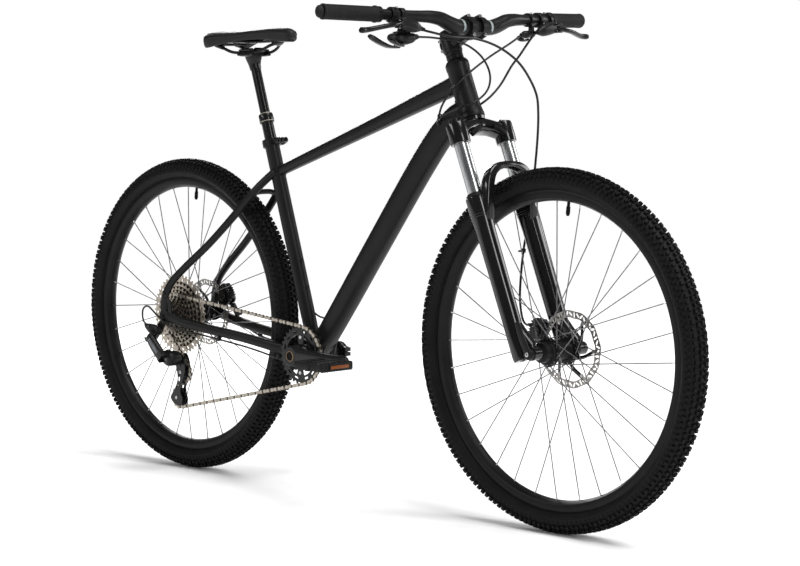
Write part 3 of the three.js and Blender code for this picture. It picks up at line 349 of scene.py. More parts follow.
class Piece:
    """Collects shells in millimetres, each with a material, and makes one object of them."""

    def __init__(self, material):
        self.verts, self.faces, self.slots, self.mats = [], [], [], []
        self.use(material)

    def use(self, material):
        if material not in self.mats:
            self.mats.append(material)
        self.mat = self.mats.index(material)
        return self

    def put(self, verts, faces):
        base = len(self.verts)
        self.verts += [Vector(v) for v in verts]
        self.faces += [tuple(base + i for i in f) for f in faces]
        self.slots += [self.mat] * len(faces)
        return self

    def rings(self, rings, caps=True, closed=False):
        """A skin over rings of points."""
        n = len(rings[0])
        faces = []
        for i in range(len(rings) if closed else len(rings) - 1):
            a, b = i * n, ((i + 1) % len(rings)) * n
            faces += [(a + k, a + (k + 1) % n, b + (k + 1) % n, b + k) for k in range(n)]
        if caps and not closed:
            faces += [tuple(reversed(range(n))), tuple(range((len(rings) - 1) * n, len(rings) * n))]
        return self.put([v for ring in rings for v in ring], faces)

    def lathe(self, profile, origin, axis=Y, steps=48, closed=True):
        """A profile of (radius, height) turned about an axis; an open profile starts and ends on it."""
        u, v = axes(axis)
        d = Vector(axis).normalized()
        spin = [(math.cos(a), math.sin(a)) for a in turns(steps)]
        rings = [[origin + d * h + (u * c + v * s) * max(r, 0.001) for c, s in spin] for r, h in profile]
        return self.rings(rings, caps=not closed, closed=closed)

    def rod(self, a, b, radius, radius_b=None, sides=28):
        d = b - a
        return self.lathe([(radius, 0), (radius if radius_b is None else radius_b, d.length)], a, d, sides,
                          closed=False)

    def tube(self, stations, side=Y, sides=28, square=1.0, per=6):
        """A smooth tube through (centre, half width, half height), with rounded-square sections."""
        centres, sizes = [s[0] for s in stations], [Vector((s[1], s[2], 0)) for s in stations]
        if per:
            centres, sizes = catmull(centres, per), catmull(sizes, per)

        def bend(value):
            return math.copysign(abs(value) ** square, value)

        rings = []
        for i, (centre, size) in enumerate(zip(centres, sizes)):
            along = (centres[min(i + 1, len(centres) - 1)] - centres[max(i - 1, 0)]).normalized()
            across = (side - along * side.dot(along)).normalized()
            rise = along.cross(across)
            ring = []
            for k in range(sides):
                angle = 2 * math.pi * (k + 0.5) / sides
                c, s = bend(math.cos(angle)), bend(math.sin(angle))
                ring.append(centre + across * size.x * c + rise * size.y * s)
            rings.append(ring)
        return self.rings(rings)

    def sweep(self, points, radius, sides=10, closed=False):
        """A round wire along points; radius may be one number or one for each point."""
        radii = radius if isinstance(radius, list) else [radius] * len(points)
        count = len(points)
        rings = []
        u = None
        for i, p in enumerate(points):
            ahead_point = points[(i + 1) % count] if closed else points[min(i + 1, count - 1)]
            back_point = points[i - 1] if closed or i else points[0]
            along = (ahead_point - back_point).normalized()
            u = axes(along)[0] if u is None else (u - along * u.dot(along)).normalized()
            v = along.cross(u)
            rings.append([p + (u * math.cos(a) + v * math.sin(a)) * radii[i] for a in turns(sides)])
        return self.rings(rings, closed=closed)

    def box(self, centre, size, turn=None, taper=1.0):
        hx, hy, hz = (s / 2 for s in size)
        corners = [Vector((sx * hx * (taper if sz > 0 else 1), sy * hy * (taper if sz > 0 else 1), sz * hz))
                   for sz in (-1, 1) for sx, sy in ((-1, -1), (1, -1), (1, 1), (-1, 1))]
        place = turn or Matrix.Identity(3)
        sides = [(3, 2, 1, 0), (4, 5, 6, 7), (0, 1, 5, 4), (1, 2, 6, 5), (2, 3, 7, 6), (3, 0, 4, 7)]
        return self.put([Vector(centre) + place @ c for c in corners], sides)

    def sheet(self, outline, holes, thickness, place):
        """A flat plate with holes: (u, v) outlines raised to a thickness, then placed by a 4x4 matrix."""
        data = bpy.data.curves.new("outline", "CURVE")
        data.dimensions = "2D"
        data.fill_mode = "BOTH"
        data.extrude = thickness / 2
        for loop in [outline, *holes]:
            spline = data.splines.new("POLY")
            spline.points.add(len(loop) - 1)
            for point, (u, v) in zip(spline.points, loop):
                point.co = (u, v, 0, 1)
            spline.use_cyclic_u = True
        holder = bpy.data.objects.new("outline", data)
        mesh = bpy.data.meshes.new_from_object(holder)
        self.put([place @ v.co for v in mesh.vertices], [tuple(p.vertices) for p in mesh.polygons])
        bpy.data.objects.remove(holder)
        bpy.data.curves.remove(data)
        bpy.data.meshes.remove(mesh)
        return self

    def plate(self, outline, holes, y0, y1):
        """A plate in the plane of the bike, its outline in (x, z)."""
        place = Matrix(((1, 0, 0, 0), (0, 0, 1, (y0 + y1) / 2), (0, 1, 0, 0), (0, 0, 0, 1)))
        return self.sheet(outline, holes, abs(y1 - y0), place)

    def bolt(self, centre, axis, radius=3.5, height=3):
        """A cap screw's head with a socket in it, on a surface, its axis pointing out of it."""
        socket = radius * 0.5
        profile = [(0, height * 0.35), (socket, height * 0.35), (socket, height), (radius * 0.86, height),
                   (radius, height * 0.8), (radius, -1), (0, -1)]
        return self.lathe(profile, centre, axis, 16, closed=False)

    def make(self, name, body, replaces=(), crease=36, bevel=0.0):
        mesh = bpy.data.meshes.new(name)
        mesh.from_pydata([v * MM for v in self.verts], [], self.faces)
        for material in self.mats:
            mesh.materials.append(material)
        mesh.polygons.foreach_set("material_index", self.slots)
        work = bmesh.new()
        work.from_mesh(mesh)
        bmesh.ops.remove_doubles(work, verts=work.verts, dist=2e-6)
        bmesh.ops.dissolve_degenerate(work, edges=work.edges, dist=1e-6)
        bmesh.ops.recalc_face_normals(work, faces=work.faces)
        limit = math.radians(crease)
        if bevel:
            sharp = [e for e in work.edges if len(e.link_faces) == 2 and e.calc_face_angle(0) > limit]
            bmesh.ops.bevel(work, geom=sharp, offset=bevel * MM, segments=2, profile=0.6, affect="EDGES",
                            clamp_overlap=True)
        for edge in work.edges:
            edge.smooth = len(edge.link_faces) == 2 and edge.calc_face_angle(0) < limit
        for face in work.faces:
            face.smooth = True
        work.to_mesh(mesh)
        work.free()
        piece = bpy.data.objects.new(name, mesh)
        bpy.context.scene.collection.objects.link(piece)
        if body:
            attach(piece, body)
        if replaces:
            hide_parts(*replaces)
        return piece

    def stand_for(self, node, body, crease=36, bevel=0.0):
        """Makes the detailed piece that is seen in place of one CAD node."""
        return self.make(f"{node}_detail", body, (node,), crease, bevel)


WELD_RIPPLE = 0.35


def seam(piece, target, rays, radius=1.6):
    """A weld bead where a tube's skin, given as rays along it, meets another shell."""
    tree = BVHTree.FromPolygons(target.verts, target.faces)
    hits = [tree.ray_cast(start, direction, 400)[0] for start, direction in rays]
    hits = [h for h in hits if h is not None]
    if len(hits) < 8:
        return
    dense = []
    for i, p in enumerate(hits):
        q = hits[(i + 1) % len(hits)]
        if (q - p).length > 30:
            return
        steps = max(1, round((q - p).length / 1.1))
        dense += [p.lerp(q, k / steps) for k in range(steps)]
    radii = [radius + WELD_RIPPLE * math.sin(2 * math.pi * i / 3.2) for i in range(len(dense))]
    piece.sweep(dense, radii, 8, closed=True)


# ------------------------------------------------------------------ floor
def studio_floor():
    bpy.ops.mesh.primitive_plane_add(size=40, location=(0, 0, -0.0005))
    floor = bpy.context.object
    floor.name = "studio_floor"
    floor.data.materials.append(finish("studio_white", (0.985, 0.985, 0.985), (0.995, 0.995, 0.995),
                                       (0.85, 0.95), scale=2, grain=60, bump=0.01, level=0.1))


studio_floor()


# ------------------------------------------------------------------ wheels
WHEELS = {
    "front": dict(axle=FRONT_AXLE, flanges=(-28, 28), flange=30, rotor_y=40, half=54.7, end=-54.7, drum=20),
    "rear": dict(axle=REAR_AXLE, flanges=(-19, 34), flange=28, rotor_y=51.5, half=73.7, end=-24, drum=12.6),
}
TYRE_PITCHES = 88
SPOKES = 32
SPOKE_LEAD = math.radians(67.5)
SECTION_R, SECTION_HIGH, SECTION_WIDE = 341, 23.2, 27.4


def round_axle(axle, radius, angle, y=0.0):
    return axle + at(radius * math.cos(angle), y, radius * math.sin(angle))


def section(a):
    """Radius, y and the outward direction (radial, y) of the tyre's skin, `a` degrees from the crown."""
    c, s = math.cos(math.radians(a)), math.sin(math.radians(a))
    high = SECTION_HIGH if c > 0 else SECTION_HIGH * 0.84
    wide = SECTION_WIDE * (1 if c > 0 else 1 - 0.1 * c * c)
    n = Vector((c / high, s / wide, 0)).normalized()
    return SECTION_R + high * c, wide * s, n.x, n.y


def make_tyre(which, axle, body):
    tyre = Piece(RUBBER)
    skin = []
    for a in range(-148, 149, 4):
        r, y, nr, ny = section(a)
        ridge = 0.7 if abs(a) in (100, 132) else 0.0
        skin.append((r + nr * ridge, y + ny * ridge))
    inner = [(r - 3 * nr, y - 3 * ny) for r, y, nr, ny in (section(a) for a in range(144, -145, -12))]
    tyre.lathe(skin + inner, axle, Y, 160)
    tyre.use(TREAD)
    # angle from the crown, width, length, height, and shift along the tyre in pitches
    rows = [
        (12, 8.8, 9.6, 5.8, 0.0), (10, 7.0, 7.4, 5.6, 0.5),
        (34, 8.0, 8.4, 5.6, 0.25), (37, 7.0, 6.8, 5.4, 0.75),
        (60, 9.0, 8.8, 5.4, 0.0), (64, 7.6, 7.0, 5.0, 0.5),
        (84, 5.5, 4.2, 1.3, 0.0), (85, 5.0, 4.2, 1.1, 0.5),
    ]
    for a, wide, length, height, phase in rows:
        for side in (-1, 1):
            r, y, nr, ny = section(a * side)
            for pitch in range(TYRE_PITCHES):
                turn = 2 * math.pi * (pitch + phase + (0.12 if side > 0 else 0)) / TYRE_PITCHES
                out = at(math.cos(turn), 0, math.sin(turn))
                ahead_dir = at(-math.sin(turn), 0, math.cos(turn))
                normal = (out * nr + Y * ny).normalized()
                cross = normal.cross(ahead_dir)
                skew = turned(normal, math.radians(9) * side * (1 if phase in (0.0, 0.25) else -1))
                frame_of = skew @ Matrix((ahead_dir, cross, normal)).transposed()
                centre = round_axle(axle, r, turn, y) + normal * (height / 2 - 0.6)
                tyre.box(centre, (length, wide, height + 1.2), frame_of, taper=0.8)
    tyre.stand_for(f"{which}_tyre", body, crease=30)


def make_rim(which, axle, body):
    rim = Piece(RIM_BLACK)
    half = [(326.6, 11.6), (327, 13.4), (323.6, 15.2), (319.5, 15.6), (312, 15.3), (308.2, 13.6), (305, 9.4),
            (302.6, 5), (301.8, 0)]
    profile = half + [(r, -y) for r, y in reversed(half[:-1])] + [(310, -11), (308, 0), (310, 11)]
    rim.lathe(profile, axle, Y, 160)
    rim.use(BRIGHT)
    for i, turn in enumerate(turns(SPOKES)):
        flange = WHEELS[which]["flanges"][i % 2]
        top = round_axle(axle, 303.4, turn, 0.6 * (1 if flange > 0 else -1))
        foot = round_axle(axle, 294.5, turn, 1.6 * (1 if flange > 0 else -1))
        rim.rod(top, foot, 2.0, 1.5, 10)
    rim.use(PAINTED_SHADE_AND_BLACK)
    valve = math.radians(84.4)
    rim.lathe([(0, 0), (3.1, 0), (3.1, 9), (4.2, 11), (4.4, 24), (2.6, 29), (0, 29)],
              round_axle(axle, 303, valve), -round_axle(at(0, 0, 0), 1, valve), 14, closed=False)
    rim.stand_for(f"{which}_rim", body, crease=24)


def make_spokes(which, wheel, body):
    axle, flanges, flange = wheel["axle"], wheel["flanges"], wheel["flange"]
    wires = Piece(SPOKE)
    for i, rim_turn in enumerate(turns(SPOKES)):
        lead = 1 if (i // 2) % 2 else -1
        hub_turn = rim_turn + lead * SPOKE_LEAD
        y = flanges[i % 2]
        inside = lead * 1.9
        hole = round_axle(axle, flange - 3.6, hub_turn, y)
        start = hole + Y * inside
        top = round_axle(axle, 297, rim_turn, 1.5 * (1 if y > 0 else -1))
        wires.sweep([hole - Y * inside * 1.3, hole, start, start.lerp(top, 0.012), top], 1.15, 8)
        wires.lathe([(0, 0), (1.9, 0), (2.2, 0.8), (0, 1.5)], hole - Y * inside * 1.1, -Y * lead, 8,
                    closed=False)
    wires.stand_for(f"{which}_spokes", body, crease=50)


def make_hub(which, wheel, body):
    axle, (low, high), flange = wheel["axle"], wheel["flanges"], wheel["flange"]
    half, end, rotor_y = wheel["half"], wheel["end"], wheel["rotor_y"]
    hub = Piece(RIM_BLACK)
    profile = [(8.2, end), (11, end), (12.6, end + 1.2), (wheel["drum"], end + 3),
               (wheel["drum"] + 1, low - 6), (wheel["drum"] + 3, low - 3.4), (flange - 1, low - 2.2),
               (flange, low - 1.2), (flange, low + 1.2), (flange - 1, low + 2.2), (21, low + 4),
               (18.5, low + 9), (17.4, (low + high) / 2), (18.5, high - 9), (21, high - 4),
               (flange - 1, high - 2.2), (flange, high - 1.2), (flange, high + 1.2), (flange - 1, high + 2.2),
               (22, high + 3.6), (21.5, rotor_y - 0.6), (16, rotor_y - 0.3), (16, rotor_y + 3),
               (12.4, rotor_y + 3.4), (12.4, half - 1.2), (11, half), (8.2, half)]
    hub.lathe(profile, axle, Y, 56)
    # near-black plugs in the flange holes: painted shade inside the spoke holes
    hub.use(PAINTED_SHADE_AND_BLACK)
    for side_y, offset in ((low, 0.0), (high, math.radians(11.25))):
        for a in turns(SPOKES // 2):
            hole = round_axle(axle, flange - 3.6, offset + a + SPOKE_LEAD, side_y)
            hub.rod(hole - Y * 2.5, hole + Y * 2.5, 1.5, sides=8)
    hub.use(BRIGHT)
    hub.lathe([(8.4, half - 0.6), (10.4, half - 0.6), (10.4, half - 0.2), (8.4, half - 0.2)], axle, Y, 40)
    hub.stand_for(f"{which}_hub", body, crease=30)


def make_rotor(which, wheel, body):
    """A slotted wavy braking ring on a black carrier with swept arms."""
    axle, y = wheel["axle"], wheel["rotor_y"]
    cx, cz = axle.x, axle.z
    wave = 12

    def wavy(radius, steps):
        return [(cx + (radius + 0.9 * math.sin(wave * a)) * math.cos(a),
                 cz + (radius + 0.9 * math.sin(wave * a)) * math.sin(a)) for a in turns(steps)]

    slots = []
    for k, a in enumerate(turns(48)):
        lean = (0.9, -0.5, 0.9, 0.2)[k % 4]
        mid = 71.8 + 0.9 * math.sin(wave * a)
        slots.append(oblong(cx + mid * math.cos(a), cz + mid * math.sin(a), 11.2, 4.2, a + lean, 4))
    ring = Piece(ROTOR)
    ring.plate(wavy(79, 240), [wavy(64.5, 160), *slots], y + 0.1, y + 1.7)
    for a in turns(6):
        tab = oblong(cx + 61.6 * math.cos(a), cz + 61.6 * math.sin(a), 11, 8, a, 6)
        ring.plate(tab, [circle(cx + 59.6 * math.cos(a), cz + 59.6 * math.sin(a), 2.2, 10)], y + 0.15,
                   y + 1.65)
    ring.use(BRIGHT)
    for a in turns(6):
        ring.lathe([(0, -1.2), (3.1, -1.2), (3.1, 2.9), (2.4, 3.3), (0, 3.3)], round_axle(axle, 59.6, a, y),
                   Y, 14, closed=False)
    ring.use(ENAMEL)
    for a in turns(6):
        path = []
        for t in (0, 0.2, 0.4, 0.6, 0.8, 1.0):
            radius = 19 + (61 - 19) * t
            angle = a - math.radians(46) * (1 - t) ** 1.4
            path.append((round_axle(axle, radius, angle, y + 0.9), 4.4 - 1.4 * t, 1.35))
        ring.tube(path, side=Y.cross(path[1][0] - path[0][0]).normalized(), sides=10, square=0.6, per=4)
    ring.plate(circle(cx, cz, 23, 48), [circle(cx, cz, 12.6, 32)], y - 0.2, y + 2.2)
    ring.use(ALLOY)
    ring.lathe([(12.5, 1), (19, 1), (19, 4.2), (17.6, 5), (12.5, 5)], axle + Y * y, Y, 40)
    # near-black blocks in the lockring's notches: painted shade
    ring.use(PAINTED_SHADE_AND_BLACK)
    for a in turns(18):
        ring.box(round_axle(axle, 18.8, a, y + 3.4), (2, 2.6, 2.4), turned(Y, -a))
    ring.stand_for(f"{which}_rotor", body, crease=30)


for which, wheel in WHEELS.items():
    rider = f"{which}_wheel"
    make_tyre(which, wheel["axle"], rider)
    make_rim(which, wheel["axle"], rider)
    make_spokes(which, wheel, rider)
    make_hub(which, wheel, rider)
    make_rotor(which, wheel, rider)


# ------------------------------------------------------------------ frame
def stations(side, rows):
    return [(at(x, side * y, z), wide, high) for x, y, z, wide, high in rows]


FRAME_SQUARE = 0.8
# (x, y, z, half width, half height) along each tube
TOP_TUBE = stations(1, [(-268, 0, 710, 11, 11), (-190, 0, 737, 13, 12), (60, 0, 822, 16, 15),
                        (230, 0, 881, 18, 18.5), (318, 0, 911, 18, 21)])
DOWN_TUBE = stations(1, [(335, 0, 861, 17, 18), (304, 0, 841, 22, 24.5), (262, 0, 805, 24, 27),
                         (208, 0, 744, 25, 27), (60, 0, 555, 25, 26), (-90, 0, 362, 25, 25),
                         (-132, 0, 312, 26, 19)])
CHAINSTAY = [(-128, 22, 303, 9, 13), (-178, 35.5, 311, 6.5, 13), (-207, 38.3, 316, 6, 12.5),
             (-245, 45, 323, 7.5, 12), (-330, 52, 335, 8.5, 11.5), (-430, 62, 346, 8.5, 11.5),
             (-520, 71.5, 358, 8, 11.5), (-560, 77.6, 366, 3.9, 13), (-577, 78, 369, 3.6, 13.5)]
SEATSTAY = [(-256, 12, 716, 7, 9), (-282, 28, 689, 7.5, 9), (-312, 39.5, 659, 7.5, 9),
            (-356, 46, 617, 7.5, 9), (-440, 56, 545, 7.5, 8.5), (-520, 66, 485, 7.5, 8.5),
            (-560, 72, 450, 7, 9), (-579, 76.5, 418, 5.4, 11), (-585, 78, 384, 3.8, 13)]


def shell_of(build):
    piece = Piece(FRAME_PAINT)
    build(piece)
    return piece


def head_shell(piece):
    profile = [(20.5, -0.6), (26.2, 0), (27, 0.9), (27, 7), (26.3, 9), (24.6, 22), (24.1, 60), (24.1, 108),
               (25.1, 110), (25.1, 119.2), (24.3, 120), (20.5, 120)]
    piece.lathe(profile, HEAD_LOW, STEER_UP, 64)


def seat_shell(piece):
    piece.lathe([(14, -2), (16.6, -2), (16.6, 484), (17.4, 486), (17.4, 495.4), (16.8, 496), (14, 496)], BB,
                SEAT_UP, 48)


def shell_bracket(piece):
    piece.lathe([(18, -36.4), (21.2, -36.4), (22, -35.6), (22, 35.6), (21.2, 36.4), (18, 36.4)], BB, Y, 56)


def weld_rays(tube, at_start, back=60):
    """Rays along a tube's skin towards one of its ends, from a little way back."""
    index, other = (0, 1) if at_start else (-1, -2)
    end, wide, high = tube[index]
    inner, wide_b, high_b = tube[other]
    along = (end - inner).normalized()
    across = (Y - along * Y.dot(along)).normalized()
    rise = along.cross(across)
    length = (end - inner).length
    share = min(1.0, back / length)
    w, h = wide + (wide_b - wide) * share, high + (high_b - high) * share
    start = end - along * min(back, length)
    rays = []
    for k in range(72):
        a = 2 * math.pi * (k + 0.5) / 72
        c = math.copysign(abs(math.cos(a)) ** FRAME_SQUARE, math.cos(a))
        s = math.copysign(abs(math.sin(a)) ** FRAME_SQUARE, math.sin(a))
        rays.append((start + across * w * c + rise * h * s, along))
    return rays


def make_frame():
    main = Piece(FRAME_PAINT)
    head, mast, shell = shell_of(head_shell), shell_of(seat_shell), shell_of(shell_bracket)
    for part in (head_shell, seat_shell, shell_bracket):
        part(main)
    main.tube(TOP_TUBE, sides=40, square=FRAME_SQUARE, per=8)
    main.tube(DOWN_TUBE, sides=40, square=FRAME_SQUARE, per=8)
    seam(main, head, weld_rays(TOP_TUBE, False, back=70), 1.7)
    seam(main, head, weld_rays(DOWN_TUBE, True, back=60), 1.7)
    seam(main, mast, weld_rays(TOP_TUBE, True, back=70), 1.6)
    seam(main, shell, weld_rays(DOWN_TUBE, False, back=52), 1.7)
    # the seat tube's own weld on the shell
    along = -SEAT_UP
    ring = [(seat(70) + (SEAT_FORWARD * math.cos(a) + Y * math.sin(a)) * 16.6, along) for a in turns(64)]
    seam(main, shell, ring, 1.6)
    for side in (-1, 1):
        chain_stay, seat_stay = stations(side, CHAINSTAY), stations(side, SEATSTAY)
        main.tube(chain_stay, sides=32, square=0.82, per=7)
        main.tube(seat_stay, sides=28, square=0.85, per=7)
        y0, y1 = (74.5, 81.4) if side > 0 else (-81.4, -74.5)
        eye = circle(REAR_AXLE.x, REAR_AXLE.z, 15, 40)
        main.plate(eye, [circle(REAR_AXLE.x, REAR_AXLE.z, 7.9, 28)], y0, y1)
        web = [(-574, 356), (-553, 376), (-556, 402), (-577, 420), (-590, 402), (-594, 378), (-588, 360)]
        main.plate(web, [oblong(-571, 392, 22, 7, math.radians(102), 6)], y0 + 1.6, y1 - 1.6)
        # weld where the seatstay meets the dropout
        ring_at = catmull([s[0] for s in seat_stay], 7)
        index = len(ring_at) - 9
        u, v = axes((ring_at[index + 1] - ring_at[index - 1]).normalized())
        loop = [ring_at[index] + (u * math.cos(t) + v * math.sin(t)) * 7.6 for t in turns(40)]
        main.sweep(loop, [1.1 + 0.3 * math.sin(k * 1.9) for k in range(40)], 8, closed=True)
    # yoke behind the shell, seatstay bridge, hanger
    main.tube([(at(-176, -33, 307), 7, 8), (at(-173, 0, 306), 7, 7), (at(-176, 33, 307), 7, 8)], side=X,
              sides=20, square=0.8)
    main.tube([(at(-313, -41, 661), 7, 6.5), (at(-309, -20, 667), 6, 6), (at(-308, 0, 668), 6, 6),
               (at(-309, 20, 667), 6, 6), (at(-313, 41, 661), 7, 6.5)], side=X, sides=20, square=0.9)
    hanger = [(-574, 362), (-588, 362), (-601, 352), (-610, 342), (-612, 333), (-606, 324.5), (-597, 324.5),
              (-591, 333), (-583, 345)]
    main.plate(hanger, [], -81.4, -75)
    # brake mount behind the left seatstay: two bosses on a tab
    for x, z in ((-520, 402), (-488, 372)):
        main.rod(at(x, 66, z), at(x, 79, z), 6.2, sides=24)
    main.tube([(at(-524, 74, 408), 4, 8), (at(-504, 71, 386), 4, 8), (at(-484, 68, 366), 4, 8)], sides=16,
              square=0.7)
    # bottle bosses on the down tube and the seat tube
    down = (DOWN_TUBE[4][0] - DOWN_TUBE[3][0]).normalized()
    normal = at(-down.z, 0, down.x) * (-1 if down.x < 0 else 1)
    normal = normal if normal.z > 0 else -normal
    bosses = [(DOWN_TUBE[3][0].lerp(DOWN_TUBE[4][0], share) + normal * 26.2, normal, 6.6)
              for share in (0.42, 0.78)]
    bosses += [(seat(s, 16.4), SEAT_FORWARD, 6.0) for s in (150, 214)]
    for foot, out, wide in bosses:
        main.use(FRAME_PAINT).rod(foot - out * 3, foot + out * 1.2, wide, 5.4 if wide > 6 else 5.0, 24)
        main.use(ALLOY).bolt(foot + out * 1.0, out, 4.4, 2.6)
    # clips that hold the lines under the stays
    main.use(PLASTIC)
    for side in (-1, 1):
        for x, y, z in ((-212, 46.5, 299), (-400, 63.5, 327)):
            main.box(at(x, side * y, z), (7, 8, 9))
            main.rod(at(x - 4, side * (y - 0.5), z - 2), at(x + 4, side * (y - 0.2), z - 1.2), 4.1, sides=18)
    # grommets where the lines enter the down tube
    for (x, y, z), lean in (((274, -24, 828), -1), ((275, -22.5, 842), -1), ((273, 23.5, 826), 1)):
        base = at(x, y, z)
        towards = at(-0.55, -lean * 0.62, -0.56).normalized()
        main.lathe([(2.6, -3), (5.4, -3), (4.8, 0.6), (3.6, 2.4), (2.6, 2.6)], base, -towards, 24)
    main.use(BRIGHT)
    main.rod(at(-512, 79.2, 394), at(-512, 80.4, 394), 0.5, sides=8)
    main.stand_for("frame", "frame", crease=34)


make_frame()


def make_frame_fittings():
    cups = Piece(ALLOY)
    for side in (-1, 1):
        cups.lathe([(13, side * 36.8), (20.4, side * 36.8), (21.3, side * 38), (21.3, side * 42.6),
                    (20.2, side * 44), (13, side * 44)], BB, Y, 48)
        for a in turns(16):
            cups.box(round_axle(BB, 21.0, a, side * 40.4), (2.4, 4.6, 3.4), turned(Y, -a))
    cups.stand_for("bottom_bracket", "frame", crease=32)

    clamp = Piece(ALLOY)
    clamp.lathe([(17.1, 484.4), (20.2, 484.4), (21, 485.4), (21, 497.6), (20.2, 498.6), (17.1, 498.6)], BB,
                SEAT_UP, 56)
    clamp.lathe([(14.4, 496.6), (20.4, 496.6), (20.4, 500.6), (14.4, 500.6)], BB, SEAT_UP, 56)
    for side in (-1, 1):
        clamp.tube([(seat(491, 16, side * 5.2), 3.9, 6), (seat(491, 27, side * 5.2), 3.9, 6.2),
                    (seat(491, 35, side * 5.2), 3.6, 5.6)], sides=20, square=0.6, per=3)
    clamp.rod(seat(491, 28, -11.5), seat(491, 28, 12), 3.2, sides=20)
    clamp.lathe([(0, 0), (5.6, 0), (6.4, 1.4), (6.4, 5), (4.8, 6.6), (0, 6.6)], seat(491, 28, -9.2), -Y, 24,
                closed=False)
    clamp.stand_for("seat_clamp", "frame", crease=32)

    lever = Piece(ALLOY)
    lever.tube([(seat(491, 36, 12.2), 4.2, 5.2), (seat(491, 31, 17.5), 4.6, 5.6),
                (seat(491, 22, 23), 3.4, 5.6), (seat(491, 6, 26), 2.8, 5.8), (seat(491, -8, 26.4), 2.6, 5.6),
                (seat(491, -18, 25.4), 2, 4)], side=STEER_FORWARD, sides=24, square=0.75)
    lever.stand_for("seat_clamp_lever", "seat_clamp_lever", crease=34)

    axle = Piece(ALLOY)
    axle.lathe([(3.6, 81.9), (10.6, 81.9), (11, 82.6), (10.4, 87), (9.6, 87.8), (3.6, 87.8), (3.6, 85)],
               REAR_AXLE, Y, 40)
    axle.rod(beside(REAR_AXLE, -81.9), beside(REAR_AXLE, 84), 7.4, sides=32)
    # near-black hex in the axle's end: painted shade in its socket
    axle.use(PAINTED_SHADE_AND_BLACK)
    axle.rod(beside(REAR_AXLE, -82.1), beside(REAR_AXLE, -80), 4.2, sides=6)
    axle.stand_for("rear_axle", "frame", crease=32)


make_frame_fittings()


def make_caliper(name, body, axle, direction, rotor_y, y_low, y_high, hose_at):
    """A two-piece caliper with a cooling-finned crown, mount bolts and a banjo for its hose."""
    dx, dz = direction
    out_dir = at(dx, 0, dz)
    tangent = at(-dz, 0, dx)
    turn = Matrix((tangent, Y, out_dir)).transposed()
    place = axle + out_dir * 88
    caliper = Piece(ENAMEL)
    gap_low, gap_high = rotor_y - 1.8, rotor_y + 3.6
    centre = place + Y * ((y_low + y_high) / 2)
    across = (y_high - y_low) / 2
    for y0, y1, face, out in ((y_low, gap_low, y_low, -Y), (gap_high, y_high, y_high, Y)):
        mid, half = place + Y * ((y0 + y1) / 2), (y1 - y0) / 2
        caliper.tube([(mid - tangent * 24, half * 0.8, 12), (mid - tangent * 14, half, 17),
                      (mid + tangent * 14, half, 17), (mid + tangent * 24, half * 0.8, 12)], side=Y, sides=28,
                     square=0.55, per=4)
        caliper.lathe([(0, 0), (11, 0), (11.6, 1.2), (11.6, 3.4), (10.4, 4.8), (0, 4.8)], place + Y * face,
                      out, 32, closed=False)
    caliper.tube([(centre + out_dir * 11 - tangent * 20, across, 6), (centre + out_dir * 13, across, 7),
                  (centre + out_dir * 11 + tangent * 20, across, 6)], side=Y, sides=24, square=0.6, per=4)
    for k in range(5):
        caliper.box(centre + out_dir * 20 + tangent * (-12 + 6 * k), (2.0, 15, 5), turn)
    caliper.use(BRIGHT)
    for k in (-1, 1):
        caliper.bolt(place + tangent * 21 * k + Y * (y_high - 1.4), Y, 4.2, 4.4)
    caliper.use(PLASTIC)
    caliper.lathe([(2.6, -2), (5.2, -2), (5.2, 3), (4, 9), (3.4, 14), (2.6, 14)], hose_at[0], hose_at[1], 20)
    caliper.stand_for(name, body, crease=34)


make_caliper("front_brake_caliper", "fork_lower", FRONT_AXLE, (-0.93, 0.37), 40, 27.5, 47.5,
             (at(479, 38, 411), at(-0.9, 0.3, 0.1)))
make_caliper("rear_brake_caliper", "frame", REAR_AXLE, (0.85, 0.53), 51.5, 39, 61,
             (at(-491.5, 58, 388.5), at(0.5, 0.15, -0.85)))


# ------------------------------------------------------------------ cassette and chain
COG_TEETH = [11, 13, 15, 17, 19, 21, 24, 28, 32, 37, 46]
SMALL_COG_Y, COG_SPACING = -70, 3.8
RING_TEETH, PULLEY_TEETH, DRIVEN_TEETH = 32, 12, 24


def toothed(centre, teeth, tip=2.0, root=-3.6, turn=0.0):
    """The outline of a sprocket, in (x, z)."""
    tooth = [(-0.5, root), (-0.27, root + 0.7), (-0.15, tip - 1.2), (-0.07, tip), (0.07, tip),
             (0.15, tip - 1.2), (0.27, root + 0.7)]
    outline = []
    for k in range(teeth):
        for share, lift in tooth:
            a = turn + 2 * math.pi * (k + share) / teeth
            radius = pitch_radius(teeth) + lift
            outline.append((centre.x + radius * math.cos(a), centre.z + radius * math.sin(a)))
    return outline


def sector(centre, inner, outer, start, stop, steps=8):
    """A window between two radii and two angles."""
    low = [(centre.x + inner * math.cos(a), centre.z + inner * math.sin(a))
           for a in (start + (stop - start) * k / steps for k in range(steps + 1))]
    high = [(centre.x + outer * math.cos(a), centre.z + outer * math.sin(a))
            for a in (stop + (start - stop) * k / steps for k in range(steps + 1))]
    return low + high


